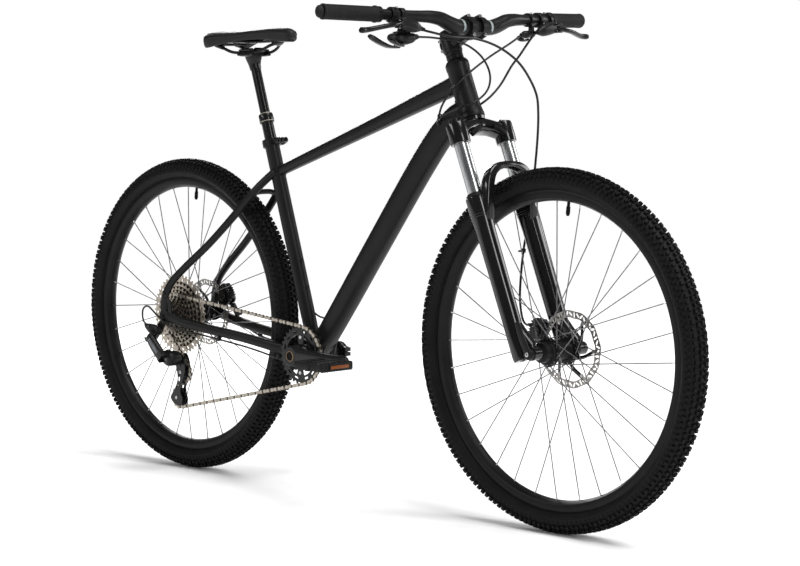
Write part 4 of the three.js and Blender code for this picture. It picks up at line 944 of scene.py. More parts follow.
def make_cassette():
    cogs = Piece(NICKEL)
    for i, teeth in enumerate(COG_TEETH):
        y = SMALL_COG_Y + i * COG_SPACING
        root = pitch_radius(teeth) - 3.6
        below = pitch_radius(COG_TEETH[i - 1]) + 2 if i else 18
        holes = [circle(REAR_AXLE.x, REAR_AXLE.z, 16, 36)]
        middle = (below + root) / 2
        if teeth >= 37:
            count = 26 if teeth == 46 else 22
            for k in range(count):
                a = 2 * math.pi * k / count
                holes.append(oblong(REAR_AXLE.x + middle * math.cos(a), REAR_AXLE.z + middle * math.sin(a),
                                    max(root - below - 3, 3.3), 4.6 if teeth == 46 else 3.2, a + 0.55, 4))
        if teeth >= 28:
            for k in range(6):
                a = 2 * math.pi * k / 6 + 0.3 * i
                holes.append(sector(REAR_AXLE, 26, below - 7, a, a + 0.84))
        cogs.use(NICKEL).plate(toothed(REAR_AXLE, teeth, turn=0.13 * i), holes, y - 0.85, y + 0.85)
        # a near-black ring in the gap to the next smaller cog, reaching just past its teeth: painted shade
        # between the cogs
        if i:
            rim = min(root - 0.4, below + 0.4)
            inner = below - 6.4 if teeth >= 28 else 15
            cogs.use(PAINTED_SHADE_AND_BLACK).lathe([(inner, y - 2.6), (rim - 1.2, y - 2.6), (rim, y - 1.0), (inner, y - 1.0)],
                                 REAR_AXLE, Y, 64)
    cogs.use(RIM_BLACK)
    cogs.lathe([(8.4, -69), (16.6, -69), (16.6, -52), (20, -44), (24.5, -40), (24.5, -30.5), (17, -29.5),
                (8.4, -29.5)], REAR_AXLE, Y, 48)
    # near-black blocks in the lockring's notches: painted shade
    cogs.use(PAINTED_SHADE_AND_BLACK)
    for a in turns(9):
        cogs.box(round_axle(REAR_AXLE, 12.6, a, -73.1), (2.4, 1.6, 3), turned(Y, -a))
    cogs.use(BRIGHT)
    cogs.lathe([(9.5, -73.2), (12, -73.2), (12.2, -71.4), (16.4, -71.2), (17.2, -72), (17.6, -70.9),
                (9.5, -70.9)], REAR_AXLE, Y, 40)
    cogs.stand_for("cassette", "cassette", crease=30)


def chain_line():
    """The line of the chain round its four wheels: points with even spacing, an even number of pitches."""
    wheels = [(REAR_AXLE, pitch_radius(DRIVEN_TEETH), -1), (BB, pitch_radius(RING_TEETH), -1),
              (TENSION_PULLEY, pitch_radius(PULLEY_TEETH), -1), (GUIDE_PULLEY, pitch_radius(PULLEY_TEETH), 1)]
    headings = []
    for i, (centre, radius, sense) in enumerate(wheels):
        after, radius_after, sense_after = wheels[(i + 1) % 4]
        step = after - centre
        lean = math.asin((sense * radius - sense_after * radius_after) / math.hypot(step.x, step.z))
        headings.append(math.atan2(step.z, step.x) + lean)
    line = []
    for i, (centre, radius, sense) in enumerate(wheels):
        arrive = headings[i - 1]
        turn = sense * ((sense * (headings[i] - arrive)) % (2 * math.pi))
        for k in range(33):
            heading = arrive + turn * k / 32
            line.append(at(centre.x + radius * sense * math.sin(heading), CHAIN_LINE,
                           centre.z - radius * sense * math.cos(heading)))
    line.append(line[0].copy())
    lengths = [0.0]
    for a, b in zip(line, line[1:]):
        lengths.append(lengths[-1] + (b - a).length)
    count = 2 * round(lengths[-1] / PITCH / 2)
    pins, j = [], 0
    for k in range(count):
        want = lengths[-1] * k / count
        while lengths[j + 1] < want:
            j += 1
        share = (want - lengths[j]) / max(lengths[j + 1] - lengths[j], 1e-9)
        pins.append(line[j].lerp(line[j + 1], share))
    return pins


def link_plate(piece, a, b, y, thick, radius, waist):
    """A chain plate with two round ends and a narrow waist."""
    along = (b - a).normalized()
    rise = at(-along.z, 0, along.x)
    ring = []
    for centre, sign in ((a, -1), (b, 1)):
        for k in range(7):
            angle = -math.pi / 2 + math.pi * k / 6
            ring.append(centre + (along * math.cos(angle) + rise * math.sin(angle)) * radius * sign)
        ring.append(a.lerp(b, 0.5) + rise * waist * sign)
    piece.rings([[p + Y * (y - CHAIN_LINE + side * thick / 2) for p in ring] for side in (-1, 1)])


def make_chain():
    chain = Piece(LINK)
    pins = chain_line()
    for k, a in enumerate(pins):
        b = pins[(k + 1) % len(pins)]
        outside = k % 2 == 1
        # inner plates take the painted-shade copy of the nickel, outer plates the nickel itself
        chain.use(LINK if outside else LINK_SHADE)
        for side in (-1, 1):
            link_plate(chain, a, b, CHAIN_LINE + side * (2.3 if outside else 1.35), 0.8,
                       4.3 if outside else 3.8, 2.2)
    chain.use(ROLLER)
    for a in pins:
        chain.rod(a - Y * 1.0, a + Y * 1.0, 3.6, sides=12)
    chain.use(BRIGHT)
    for a in pins:
        chain.rod(a - Y * 3.05, a + Y * 3.05, 1.5, sides=8)
    chain.stand_for("chain", "frame", crease=32)


make_cassette()
make_chain()


# ------------------------------------------------------------------ cranks and pedals
CRANK_LENGTH = 175
# distance from the spindle, distance from the midplane, half width, half height
CRANK_ARM = [(-20, 67.5, 6.5, 13), (-12, 68.5, 9, 21), (0, 69.5, 10, 23), (16, 70.5, 9.5, 22),
             (40, 72.4, 8.6, 18.4), (90, 76, 7.6, 16), (145, 79.4, 7, 14), (167, 81, 7.4, 15),
             (183, 81.2, 7.2, 13), (189.5, 81, 5, 6.5)]


def make_crank():
    ring = Piece(ENAMEL)
    holes = [circle(BB.x, BB.z, 15, 36)]
    for k in range(4):
        a = math.radians(90 * k + 12)
        holes.append(sector(BB, 25, 46, a, a + math.radians(62), 10))
        for j in range(3):
            b = math.radians(90 * k + 20 + 27 * j)
            holes.append(oblong(BB.x + 53 * math.cos(b), BB.z + 53 * math.sin(b), 13, 4.6, b + math.pi / 2,
                                5))
    ring.plate(toothed(BB, RING_TEETH, tip=1.7), holes, CHAIN_LINE - 1.2, CHAIN_LINE + 1.2)
    ring.lathe([(15, -57), (20.6, -57), (22.5, -54), (24.5, -49.2), (24.5, -46), (15, -46)], BB, Y, 48)
    ring.use(BRIGHT)
    for k in range(4):
        a = math.radians(90 * k - 1)
        ring.lathe([(0, 0), (3.9, 0), (4.2, 0.8), (4.2, 2), (0, 2)], round_axle(BB, 40, a, CHAIN_LINE - 2.6),
                   Y, 18, closed=False)
    ring.stand_for("chainring", "crank", crease=30)

    for side, name in SIDES:
        tip = BB.x - side * CRANK_LENGTH
        arm = Piece(CRANK)
        arm.tube([(at(BB.x - side * reach, side * y, BB.z), w, h) for reach, y, w, h in CRANK_ARM], side=Y,
                 sides=40, square=0.62, per=7)
        if side < 0:
            arm.lathe([(10.6, -80.2), (20, -80.2), (22.6, -78.2), (22.6, -57.4), (10.6, -57.4)], BB, Y, 56)
            arm.rod(beside(BB, -60), beside(BB, 79), 12, sides=36)
            arm.use(COPPER)
            arm.lathe([(10.2, -81.4), (11.4, -81.4), (11.8, -80.8), (11.8, -79), (10.2, -79)], BB, Y, 48)
            # near-black disc in the spindle's bore: painted shade
            arm.use(PAINTED_SHADE_AND_BLACK)
            arm.lathe([(0, -79.9), (10.3, -79.9), (10.3, -78), (0, -78)], BB, Y, 40, closed=False)
        else:
            arm.lathe([(12.2, 60), (19.4, 60), (19.4, 79.4), (18, 80.6), (12.2, 80.6)], BB, Y, 56)
            arm.box(at(BB.x + 21, 70, BB.z + 5.4), (17, 17, 8.6))
            arm.box(at(BB.x + 21, 70, BB.z - 5.4), (17, 17, 8.6))
            arm.use(ALLOY)
            arm.lathe([(0, 79), (6, 79), (6, 82), (11.4, 82.6), (11.4, 80), (12, 79)], BB, Y, 36,
                      closed=False)
            arm.use(BRIGHT)
            for y in (65, 75):
                arm.bolt(at(BB.x + 23, y, BB.z + 9.6), Z, 3.4, 2.6)
        arm.use(BRIGHT)
        arm.rod(at(tip, side * 82, BB.z), at(tip, side * 187, BB.z), 5.2, sides=24)
        arm.rod(at(tip, side * 86.6, BB.z), at(tip, side * 91.4, BB.z), 8.4, sides=6)
        # near-black disc on the arm's inner face at the pedal spindle: painted shade in the pedal eye
        arm.use(PAINTED_SHADE_AND_BLACK)
        arm.rod(at(tip, side * 73.4, BB.z), at(tip, side * 74.6, BB.z), 6.6, sides=24)
        arm.stand_for(f"crank_arm_{name}", "crank", crease=30)
        make_pedal(side, name, tip)


def make_pedal(side, name, tip):
    """A moulded platform: a cage of bars with studs, a barrel across it and a reflector in each end."""
    pedal = Piece(PEDAL)
    centre = at(tip, side * 141, BB.z)
    outline = [(-46, -44), (-41, -48), (41, -48), (46, -44), (46, 40), (40, 47), (-40, 47), (-46, 40)]
    windows = [[(s * 37, -38), (s * 14, -38), (s * 14, 37), (s * 34, 37), (s * 37, 34)] for s in (-1, 1)]
    place = Matrix(((1, 0, 0, centre.x), (0, side, 0, centre.y), (0, 0, 1, centre.z), (0, 0, 0, 1)))
    pedal.sheet(outline, windows, 15, place)
    for s in (-1, 1):
        for y in (-25, 0, 25):
            pedal.box(centre + at(s * 25.5, side * y, 0), (25, 4, 11))
        for y in range(-42, 43, 7):
            for z in (-1, 1):
                pedal.box(centre + at(s * 41.5, side * y, z * 8.4), (8.6, 3.4, 3.2),
                          turned(X, 0 if z > 0 else math.pi), taper=0.6)
    for z in (-1, 1):
        for x in (-24, -8, 8, 24):
            for y in (-43.5, 42.5):
                pedal.box(centre + at(x, side * y, z * 8.4), (4, 6.4, 3.2),
                          turned(X, 0 if z > 0 else math.pi), taper=0.6)
    pedal.rod(centre - Y * side * 48.5, centre + Y * side * 45.5, 10.8, 9.6, 32)
    pedal.lathe([(0, 45), (7.6, 45), (7.6, 48.6), (5.6, 50), (0, 50)], centre, Y * side, 24, closed=False)
    pedal.use(AMBER)
    for s in (-1, 1):
        pedal.box(centre + at(s * 46.3, side * -5, 0), (3.0, 54, 8.4))
    pedal.use(PEDAL)
    for s in (-1, 1):
        for z in (-1, 1):
            pedal.box(centre + at(s * 46.2, side * -5, z * 5.4), (4, 58, 2.8))
        for y in (-1, 1):
            pedal.box(centre + at(s * 46.2, side * (y * 28.2 - 5), 0), (4, 2.4, 13))
    pedal.stand_for(f"pedal_{name}", f"pedal_{name}", crease=34, bevel=0.7)


make_crank()


# ------------------------------------------------------------------ rear derailleur
HANGER_BOLT = at(-601, 0, 334)
KNUCKLE = at(-555, 0, 270)
LINK_FROM = at(-606, -96, 322)
LINK_TO = at(-560, -96, 276)
LINK_LEAN = math.radians(45)
LINK_AXIS = at(math.sin(LINK_LEAN), 0, math.cos(LINK_LEAN))


def make_clevis(piece, end):
    lean = Matrix((at(LINK_AXIS.z, 0, -LINK_AXIS.x), Y, LINK_AXIS)).transposed()
    piece.box(at(end.x, -89.5, end.z), (17, 12, 30), lean)
    for side in (-1, 1):
        piece.box(at(end.x, -99.5, end.z) + LINK_AXIS * (side * 13.3), (13, 20, 3.4), lean)


def make_derailleur():
    body = Piece(PLASTIC)
    body.lathe([(0, -98.5), (7, -98.5), (9.6, -97.4), (10.4, -95), (10.4, -86), (11.6, -84), (11.6, -82),
                (0, -82)], HANGER_BOLT, Y, 36, closed=False)
    body.tube([(at(-597, -91, 332), 6, 10), (at(-606, -92, 336), 7.5, 13), (at(-618, -92.5, 339), 7, 11.5),
               (at(-629, -92, 342), 5.6, 7.5), (at(-636, -91, 344.6), 4.6, 5)], side=Y, sides=28, square=0.75)
    make_clevis(body, LINK_FROM)
    # near-black hex in the hanger bolt: painted shade in its socket
    body.use(PAINTED_SHADE_AND_BLACK)
    body.rod(beside(HANGER_BOLT, -99), beside(HANGER_BOLT, -97), 4, sides=6)
    body.use(BRIGHT)
    body.lathe([(2.4, -2), (4.6, -2), (4.6, 5), (3.8, 6.5), (2.4, 6.5)], at(-634, -90.4, 345),
               at(-0.9, 0, 0.42), 18)
    for z in (-1, 1):
        body.bolt(at(-617, -98.9, 339 + 5 * z), -Y, 2.1, 1.6)
    body.stand_for("derailleur_body", "derailleur_body", crease=34, bevel=0.8)

    link = Piece(ENAMEL)
    way = (LINK_TO - LINK_FROM).normalized()
    start, stop = LINK_FROM + way * 1.5 - Y * 10, LINK_TO - way * 1.5 - Y * 10
    link.tube([(start - way * 3, 4.6, 12), (start.lerp(stop, 0.25) - Y * 0.6, 6, 14),
               (start.lerp(stop, 0.75) - Y * 0.8, 6, 15), (stop + way * 3, 4.6, 13)], side=Y, sides=32,
              square=0.6, per=6)
    link.use(SILVER_PLATE)
    link.tube([(start.lerp(stop, 0.12) - Y * 5.4, 1.4, 3.4), (start.lerp(stop, 0.5) - Y * 6.2, 1.4, 5),
               (start.lerp(stop, 0.82) - Y * 5.8, 1.4, 4.4)], side=Y, sides=24, square=0.5, per=5)
    link.stand_for("derailleur_link", "derailleur_link", crease=34)

    knuckle = Piece(PLASTIC)
    knuckle.lathe([(0, -97.2), (10.4, -97.2), (14.2, -95.8), (17, -92), (17.8, -84), (17.8, -70), (16.4, -66),
                   (16.4, -62), (0, -62)], KNUCKLE, Y, 44, closed=False)
    make_clevis(knuckle, LINK_TO)
    knuckle.use(SILVER_PLATE)
    knuckle.lathe([(7.4, -98), (9.2, -98), (9.4, -97.2), (7.4, -97)], KNUCKLE, Y, 36)
    knuckle.use(BRIGHT)
    knuckle.bolt(beside(KNUCKLE, -97.4), -Y, 4.4, 1.6)
    knuckle.stand_for("derailleur_knuckle", "derailleur_knuckle", crease=34, bevel=0.8)

    cage = Piece(ENAMEL)
    control = [(-566, 276), (-549, 280), (-538, 264), (-534, 240), (-545, 213), (-553, 193), (-545, 170),
               (-551, 157), (-572, 157), (-588, 172), (-579, 187), (-569, 200), (-561, 222), (-567, 250)]
    outline = [(p.x, p.y) for p in catmull([(u, v, 0) for u, v in [*control, control[0]]], 5)[:-1]]
    holes = [oblong(-556, 222, 18, 7, math.radians(80), 6), oblong(-562, 199, 12, 6.5, math.radians(72), 6),
             oblong(-550, 255, 12, 6, math.radians(120), 6)]
    cage.plate(outline, holes, -57.6, -55.4)
    cage.plate(outline, holes, -41.4, -39.2)
    cage.lathe([(0, -61.6), (11.4, -61.6), (12, -60.8), (12, -55), (0, -55)], KNUCKLE, Y, 32, closed=False)
    cage.use(BRIGHT)
    for pulley in (GUIDE_PULLEY, TENSION_PULLEY):
        hub = at(pulley.x, 0, pulley.z)
        cage.rod(hub + Y * -57.2, hub + Y * -39.6, 2.8, sides=16)
        cage.bolt(hub + Y * -57.5, -Y, 4.2, 1.9)
    cage.stand_for("derailleur_cage", "derailleur_cage", crease=30)

    for name, pulley in (("guide_pulley", GUIDE_PULLEY), ("tension_pulley", TENSION_PULLEY)):
        wheel = Piece(PLASTIC)
        holes = [circle(pulley.x, pulley.z, 4, 20)]
        for a in turns(6):
            holes.append(circle(pulley.x + 14.3 * math.cos(a), pulley.z + 14.3 * math.sin(a), 3.1, 14))
        wheel.plate(toothed(pulley, PULLEY_TEETH, tip=2.2, root=-3.4), holes, CHAIN_LINE - 0.95,
                    CHAIN_LINE + 0.95)
        wheel.lathe([(3.4, -4), (8.4, -4), (9.2, -3), (9.2, 3), (8.4, 4), (3.4, 4)], pulley, Y, 28)
        wheel.stand_for(name, name, crease=30)


make_derailleur()


# ------------------------------------------------------------------ fork
FORK_OFFSET, LEG_Y = 12, 69


def leg(t, side, f=0.0):
    return steer(t, FORK_OFFSET + f, side * LEG_Y)


def make_fork():
    crown = Piece(GLOSS)
    crown.tube([(steer(-42, 12, -74), 17, 13), (steer(-33, 10, -56), 18, 15), (steer(-24, 6, -34), 19, 15),
                (steer(-19, 1, -12), 22, 16.5), (steer(-18.5, 0, 0), 23, 17), (steer(-19, 1, 12), 22, 16.5),
                (steer(-24, 6, 34), 19, 15), (steer(-33, 10, 56), 18, 15), (steer(-42, 12, 74), 17, 13)],
               side=STEER_FORWARD, sides=40, square=0.72, per=7)
    for side in (-1, 1):
        crown.lathe([(15.2, -60), (20.4, -60), (21.2, -59), (21.4, -50), (21.2, -20), (20.4, -16.6),
                     (18.8, -15.6), (13, -15.6), (13, -17), (15.2, -17)], leg(0, side), STEER_UP, 56)
    crown.rod(steer(-8), steer(-1.2), 25, 25.6, 56)
    # near-black strips across the crown's front: painted shade in its hollows
    crown.use(PAINTED_SHADE_AND_BLACK)
    for side in (-1, 1):
        crown.tube([(steer(-46, 31, side * 50), 4, 5), (steer(-36, 32.5, side * 34), 5, 6),
                    (steer(-30, 31, side * 20), 4, 5)], side=STEER_FORWARD, sides=20, square=0.7, per=5)
    crown.use(ALLOY)
    crown.lathe([(12.3, -8), (14.3, -8), (14.3, 195), (12.3, 195)], HEAD_LOW, STEER_UP, 40)
    crown.lathe([(0, -15.8), (12.4, -15.8), (12.4, -13.4), (11, -12.4), (0, -12.4)], leg(0, 1), STEER_UP, 36,
                closed=False)
    crown.use(BRIGHT)
    crown.lathe([(0, -12.8), (3.4, -12.8), (3.4, -9), (2.8, -8.4), (0, -8.4)], leg(0, 1), STEER_UP, 20,
                closed=False)
    crown.stand_for("fork_crown", "fork_upper", crease=34)

    for side, name in SIDES:
        tube = Piece(CHROME)
        tube.lathe([(12.6, -330), (14.6, -330), (15, -329), (15, -22.4), (12.6, -22.4)], leg(0, side),
                   STEER_UP, 64)
        tube.stand_for(f"stanchion_{name}", "fork_upper", crease=30)

    knob = Piece(PLASTIC)
    top = leg(0, -1)
    knob.lathe([(0, -15.6), (13.4, -15.6), (13.6, -14.6), (12.8, -7.4), (11.6, -6), (4.6, -5), (0, -5)], top,
               STEER_UP, 40, closed=False)
    for a in turns(12):
        out = STEER_FORWARD * math.cos(a) + Y * math.sin(a)
        knob.box(top + STEER_UP * -11 + out * 13.0, (1.8, 2.4, 6.6),
                 Matrix((out, STEER_UP.cross(out), STEER_UP)).transposed())
    knob.tube([(top + STEER_UP * -8 + STEER_FORWARD * 6, 3.2, 2.4),
               (top + STEER_UP * -7.6 + STEER_FORWARD * 17, 2.6, 2.2),
               (top + STEER_UP * -7.8 + STEER_FORWARD * 20, 1.8, 1.8)], side=Y, sides=20, square=0.7, per=4)
    knob.stand_for("lockout_knob", "lockout_knob", crease=34)

    lowers = Piece(GLOSS)
    for side in (-1, 1):
        foot = leg(0, side)
        lowers.lathe([(15.3, -174.5), (20.2, -174.5), (22.6, -176.5), (22.9, -179), (22.6, -214),
                      (21.2, -228), (20.2, -250), (19.6, -330), (19.3, -470), (19.3, -515), (18.2, -521.6),
                      (16.8, -523), (6, -523), (6, -519), (0, -519), (0, -440), (15.3, -440)], foot, STEER_UP,
                     64)
        for t, wide in ((-212, 22.9), (-217, 22.6)):
            lowers.lathe([(wide - 0.6, t), (wide + 0.5, t - 0.8), (wide - 0.6, t - 1.8)], foot, STEER_UP, 56)
        lowers.tube([(leg(-452, side, 10), 12, 10), (leg(-480, side, 18), 12, 14),
                     (leg(-503, side, 26), 12, 16), (at(FRONT_AXLE.x - 8, side * 68.5, FRONT_AXLE.z + 4), 12,
                                                     15),
                     (at(FRONT_AXLE.x + 4, side * 68.5, FRONT_AXLE.z - 2), 11.4, 13)], side=Y, sides=32,
                    square=0.7, per=6)
        y0, y1 = sorted((side * 55.4, side * 80))
        lowers.lathe([(7.8, y0), (12.6, y0), (13.6, y0 + 1), (13.6, y1 - 1), (12.6, y1), (7.8, y1)],
                     FRONT_AXLE, Y, 40)
    arch = [(-236, 16, -67, 13, 13), (-208, 28, -66, 13, 13), (-182, 38, -64.5, 12.5, 12),
            (-156, 46, -60, 12, 11), (-138, 51, -50, 11.5, 10), (-128, 53.6, -34, 11, 8.6),
            (-124, 54.6, -16, 10.5, 7.4), (-123, 55, 0, 10.5, 7)]
    full = arch + [(t, f, -y, w, h) for t, f, y, w, h in reversed(arch[:-1])]
    lowers.tube([(steer(t, f, y), w, h) for t, f, y, w, h in full], side=STEER_FORWARD, sides=36, square=0.55,
                per=7)
    # caliper mounts on the left leg
    for reach, rise in ((66, 39), (92, -8)):
        x, z = -0.93 * reach - 0.37 * rise, 0.37 * reach - 0.93 * rise
        lowers.rod(FRONT_AXLE + at(x, 51, z), FRONT_AXLE + at(x, 64, z), 6.6, sides=24)
    lowers.use(SEAL)
    for side in (-1, 1):
        foot = leg(0, side)
        lowers.lathe([(15.2, -174.6), (20.4, -174.6), (20.4, -171.4), (18.6, -170.4), (17.8, -168.4),
                      (16.4, -167), (15.3, -166.6)], foot, STEER_UP, 56)
    lowers.use(BRIGHT)
    for side in (-1, 1):
        lowers.lathe([(0, -522.4), (5.6, -522.4), (5.6, -524.6), (4.8, -525.2), (0, -525.2)], leg(0, side),
                     STEER_UP, 24, closed=False)
    lowers.stand_for("fork_lowers", "fork_lower", crease=34)

    axle = Piece(ALLOY)
    axle.rod(beside(FRONT_AXLE, -86), beside(FRONT_AXLE, 79), 7.4, sides=32)
    axle.lathe([(0, -92), (7, -92), (10.6, -90), (11.4, -88), (11.4, -80.6), (0, -80.6)], FRONT_AXLE, Y, 40,
               closed=False)
    axle.tube([(at(FRONT_AXLE.x + 3, -87.6, FRONT_AXLE.z - 4), 4, 7.6),
               (at(FRONT_AXLE.x - 5, -90.4, FRONT_AXLE.z + 14), 3.8, 8.2),
               (at(FRONT_AXLE.x - 14, -93.2, FRONT_AXLE.z + 36), 3.2, 7.4),
               (at(FRONT_AXLE.x - 20.6, -94.6, FRONT_AXLE.z + 56), 2.9, 6.8),
               (at(FRONT_AXLE.x - 23.6, -95, FRONT_AXLE.z + 64), 2.2, 4.6)], side=Y, sides=28, square=0.7,
              per=6)
    axle.use(BRIGHT)
    axle.bolt(beside(FRONT_AXLE, -91.6), -Y, 4.6, 1.6)
    axle.stand_for("front_axle", "front_axle", crease=34)


make_fork()


# ------------------------------------------------------------------ cockpit
BAR_T, STEM_REACH = 173.3, 72
BAR_CENTRE = steer(BAR_T, STEM_REACH)
BAR_RADIUS, GRIP_BAR_RADIUS = 15.9, 11.1


def bar_point(side, y):
    share = (y - 120) / (388 - 120)
    return at(349.5 - 43 * share, side * y, 1041.5 + 5.5 * share)


def on_bar(piece, side, profile, steps=40):
    """A lathe round the bar: (radius, distance from the bike's middle)."""
    start, stop = bar_point(side, 0), bar_point(side, 400)
    axis = (stop - start).normalized()
    piece.lathe([(r, (y * axis.dot(Y) * side) * 1.0131) for r, y in profile], start, axis, steps)


def make_cockpit():
    bar = Piece(ALLOY)
    half = [(386, GRIP_BAR_RADIUS), (190, GRIP_BAR_RADIUS), (150, 11.9), (125, 13)]
    low = [(at(351, 98, 1038), 14.5), (at(351.4, 80, 1031.6), 15.4), (at(351.5, 64, 1026.5), BAR_RADIUS),
           (beside(BAR_CENTRE, 48), BAR_RADIUS)]
    left = [(bar_point(1, y), r, r) for y, r in half] + [(p, r, r) for p, r in low]
    bar.tube([(at(p.x, -p.y, p.z), r, s) for p, r, s in left] + left[::-1], side=X, sides=48, per=8)
    bar.use(GREY_BAND)
    for side in (-1, 1):
        bar.lathe([(BAR_RADIUS - 0.5, side * 38), (BAR_RADIUS + 0.16, side * 38.2),
                   (BAR_RADIUS + 0.16, side * 43.8), (BAR_RADIUS - 0.5, side * 44)], beside(BAR_CENTRE, 0), Y,
                  56)
    # near-black discs in the bar's ends: painted shade inside the bore
    bar.use(PAINTED_SHADE_AND_BLACK)
    for side in (-1, 1):
        bar.rod(bar_point(side, 380), bar_point(side, 386.3), 9.4, sides=28)
    bar.stand_for("handlebar", "fork_upper", crease=40)

    stem = Piece(ALLOY)
    stem.lathe([(14.6, 146), (18.4, 146), (19.6, 147.2), (19.8, 150), (19.2, 188), (18, 190), (14.6, 190)],
               HEAD_LOW, STEER_UP, 56)
    stem.tube([(steer(168, 10), 15, 17), (steer(169.5, 24), 15.5, 16), (steer(171.5, 42), 16.5, 15),
               (steer(BAR_T - 4, 55), 20, 16.5), (steer(BAR_T - 1, 59), 22.5, 17.5)], side=Y, sides=40,
              square=0.68, per=7)
    around = beside(BAR_CENTRE, 0)
    turn = math.atan2(STEER_FORWARD.z, STEER_FORWARD.x)

    def shell(piece, start, stop, y0, y1, outer=21.4):
        """Part of a ring round the bar, its angles counted from the bar towards the front of the bike."""
        angles = [turn + math.radians(start + (stop - start) * k / 24) for k in range(25)]
        outline = [(around.x + outer * math.cos(a), around.z + outer * math.sin(a)) for a in angles]
        outline += [(around.x + 16.1 * math.cos(a), around.z + 16.1 * math.sin(a)) for a in reversed(angles)]
        piece.plate(outline, [], y0, y1)

    shell(stem, 93, 267, -24, 24)
    for up_sign in (-1, 1):
        for side in (-1, 1):
            lug = around + STEER_UP * (up_sign * 20.5) - STEER_FORWARD * 7 + Y * (side * 17)
            stem.rod(lug - STEER_FORWARD * 3, lug + STEER_FORWARD * 6, 5.4, sides=24)
    for side in (-1, 1):
        stem.tube([(steer(150, -12, side * 5.6), 4.4, 7), (steer(168, -17, side * 6), 5, 8),
                   (steer(185, -12, side * 5.6), 4.4, 7)], side=Y, sides=24, square=0.6, per=5)
    stem.lathe([(0, 190.4), (17.4, 190.4), (18.2, 191.2), (17.6, 194.4), (15, 195.6), (4.6, 195.6),
                (4.4, 193), (0, 193)], HEAD_LOW, STEER_UP, 48, closed=False)
    stem.use(BRIGHT)
    for s in (157, 179):
        stem.rod(steer(s, -19, -9.5), steer(s, -19, 9.5), 2.3, sides=16)
        stem.bolt(steer(s, -19, -9.8), -Y, 3.7, 3.4)
    # near-black hex in the top cap: painted shade in its socket
    stem.use(PAINTED_SHADE_AND_BLACK)
    stem.rod(steer(193), steer(193.4), 3.4, sides=6)
    stem.stand_for("stem", "fork_upper", crease=32)

    face = Piece(ALLOY)
    for y0, y1 in ((-24, -9), (9, 24)):
        shell(face, -86, 86, y0, y1, 21.8)
    for start, stop in ((-86, -50), (50, 86)):
        shell(face, start, stop, -9.2, 9.2)
    for up_sign in (-1, 1):
        for side in (-1, 1):
            lug = around + STEER_UP * (up_sign * 20.5) + STEER_FORWARD * 1.5 + Y * (side * 17)
            face.rod(lug - STEER_FORWARD * 0.6, lug + STEER_FORWARD * 8.4, 5.4, 4.8, 24)
    face.use(BRIGHT)
    for up_sign in (-1, 1):
        for side in (-1, 1):
            lug = around + STEER_UP * (up_sign * 20.5) + STEER_FORWARD * 9.6 + Y * (side * 17)
            face.bolt(lug, STEER_FORWARD, 3.8, 3.6)
    face.stand_for("stem_faceplate", "fork_upper", crease=32)

    spacers = Piece(ALLOY)
    spacers.lathe([(14.5, 120.3), (24.6, 120.3), (25, 121), (24.4, 123.4), (21.4, 128), (18.4, 129.6),
                   (14.5, 129.6)], HEAD_LOW, STEER_UP, 56)
    for low_t, high_t in ((129.9, 137.5), (137.9, 145.7)):
        spacers.lathe([(14.5, low_t), (17.4, low_t), (18, low_t + 0.6), (18, high_t - 0.6), (17.4, high_t),
                       (14.5, high_t)], HEAD_LOW, STEER_UP, 52)
    spacers.stand_for("headset_spacers", "fork_upper", crease=30)

    for side, name in SIDES:
        grip = Piece(GRIP)
        on_bar(grip, side, [(11.4, 262), (16.6, 262), (17.3, 263), (17.3, 265.6), (16.6, 267), (15.7, 268.6),
                            (15.3, 274), (15.1, 330), (15.3, 382), (16, 385.4), (16, 388.6), (14.4, 390.6),
                            (10.2, 390.6), (10.2, 386.8), (11.4, 386.8)], 56)
        for k in range(28):
            y = 276 + 3.8 * k
            on_bar(grip, side, [(14.9, y), (15.45, y + 0.5), (15.45, y + 2.2), (14.9, y + 2.7)], 40)
        grip.use(ALLOY)
        on_bar(grip, side, [(11.4, 252), (15.6, 252), (16.2, 252.8), (16.2, 260.6), (15.4, 261.4),
                            (11.4, 261.4)], 44)
        grip.use(PLASTIC)
        end = bar_point(side, 389.2)
        grip.lathe([(0, -4), (9.8, -4), (9.8, 0), (12.6, 0.3), (12.6, 1.4), (10, 2.1), (0, 2.2)], end,
                   Y * side, 40, closed=False)
        grip.stand_for(f"grip_{name}", "fork_upper", crease=32)
        make_brake_controls(side, name)


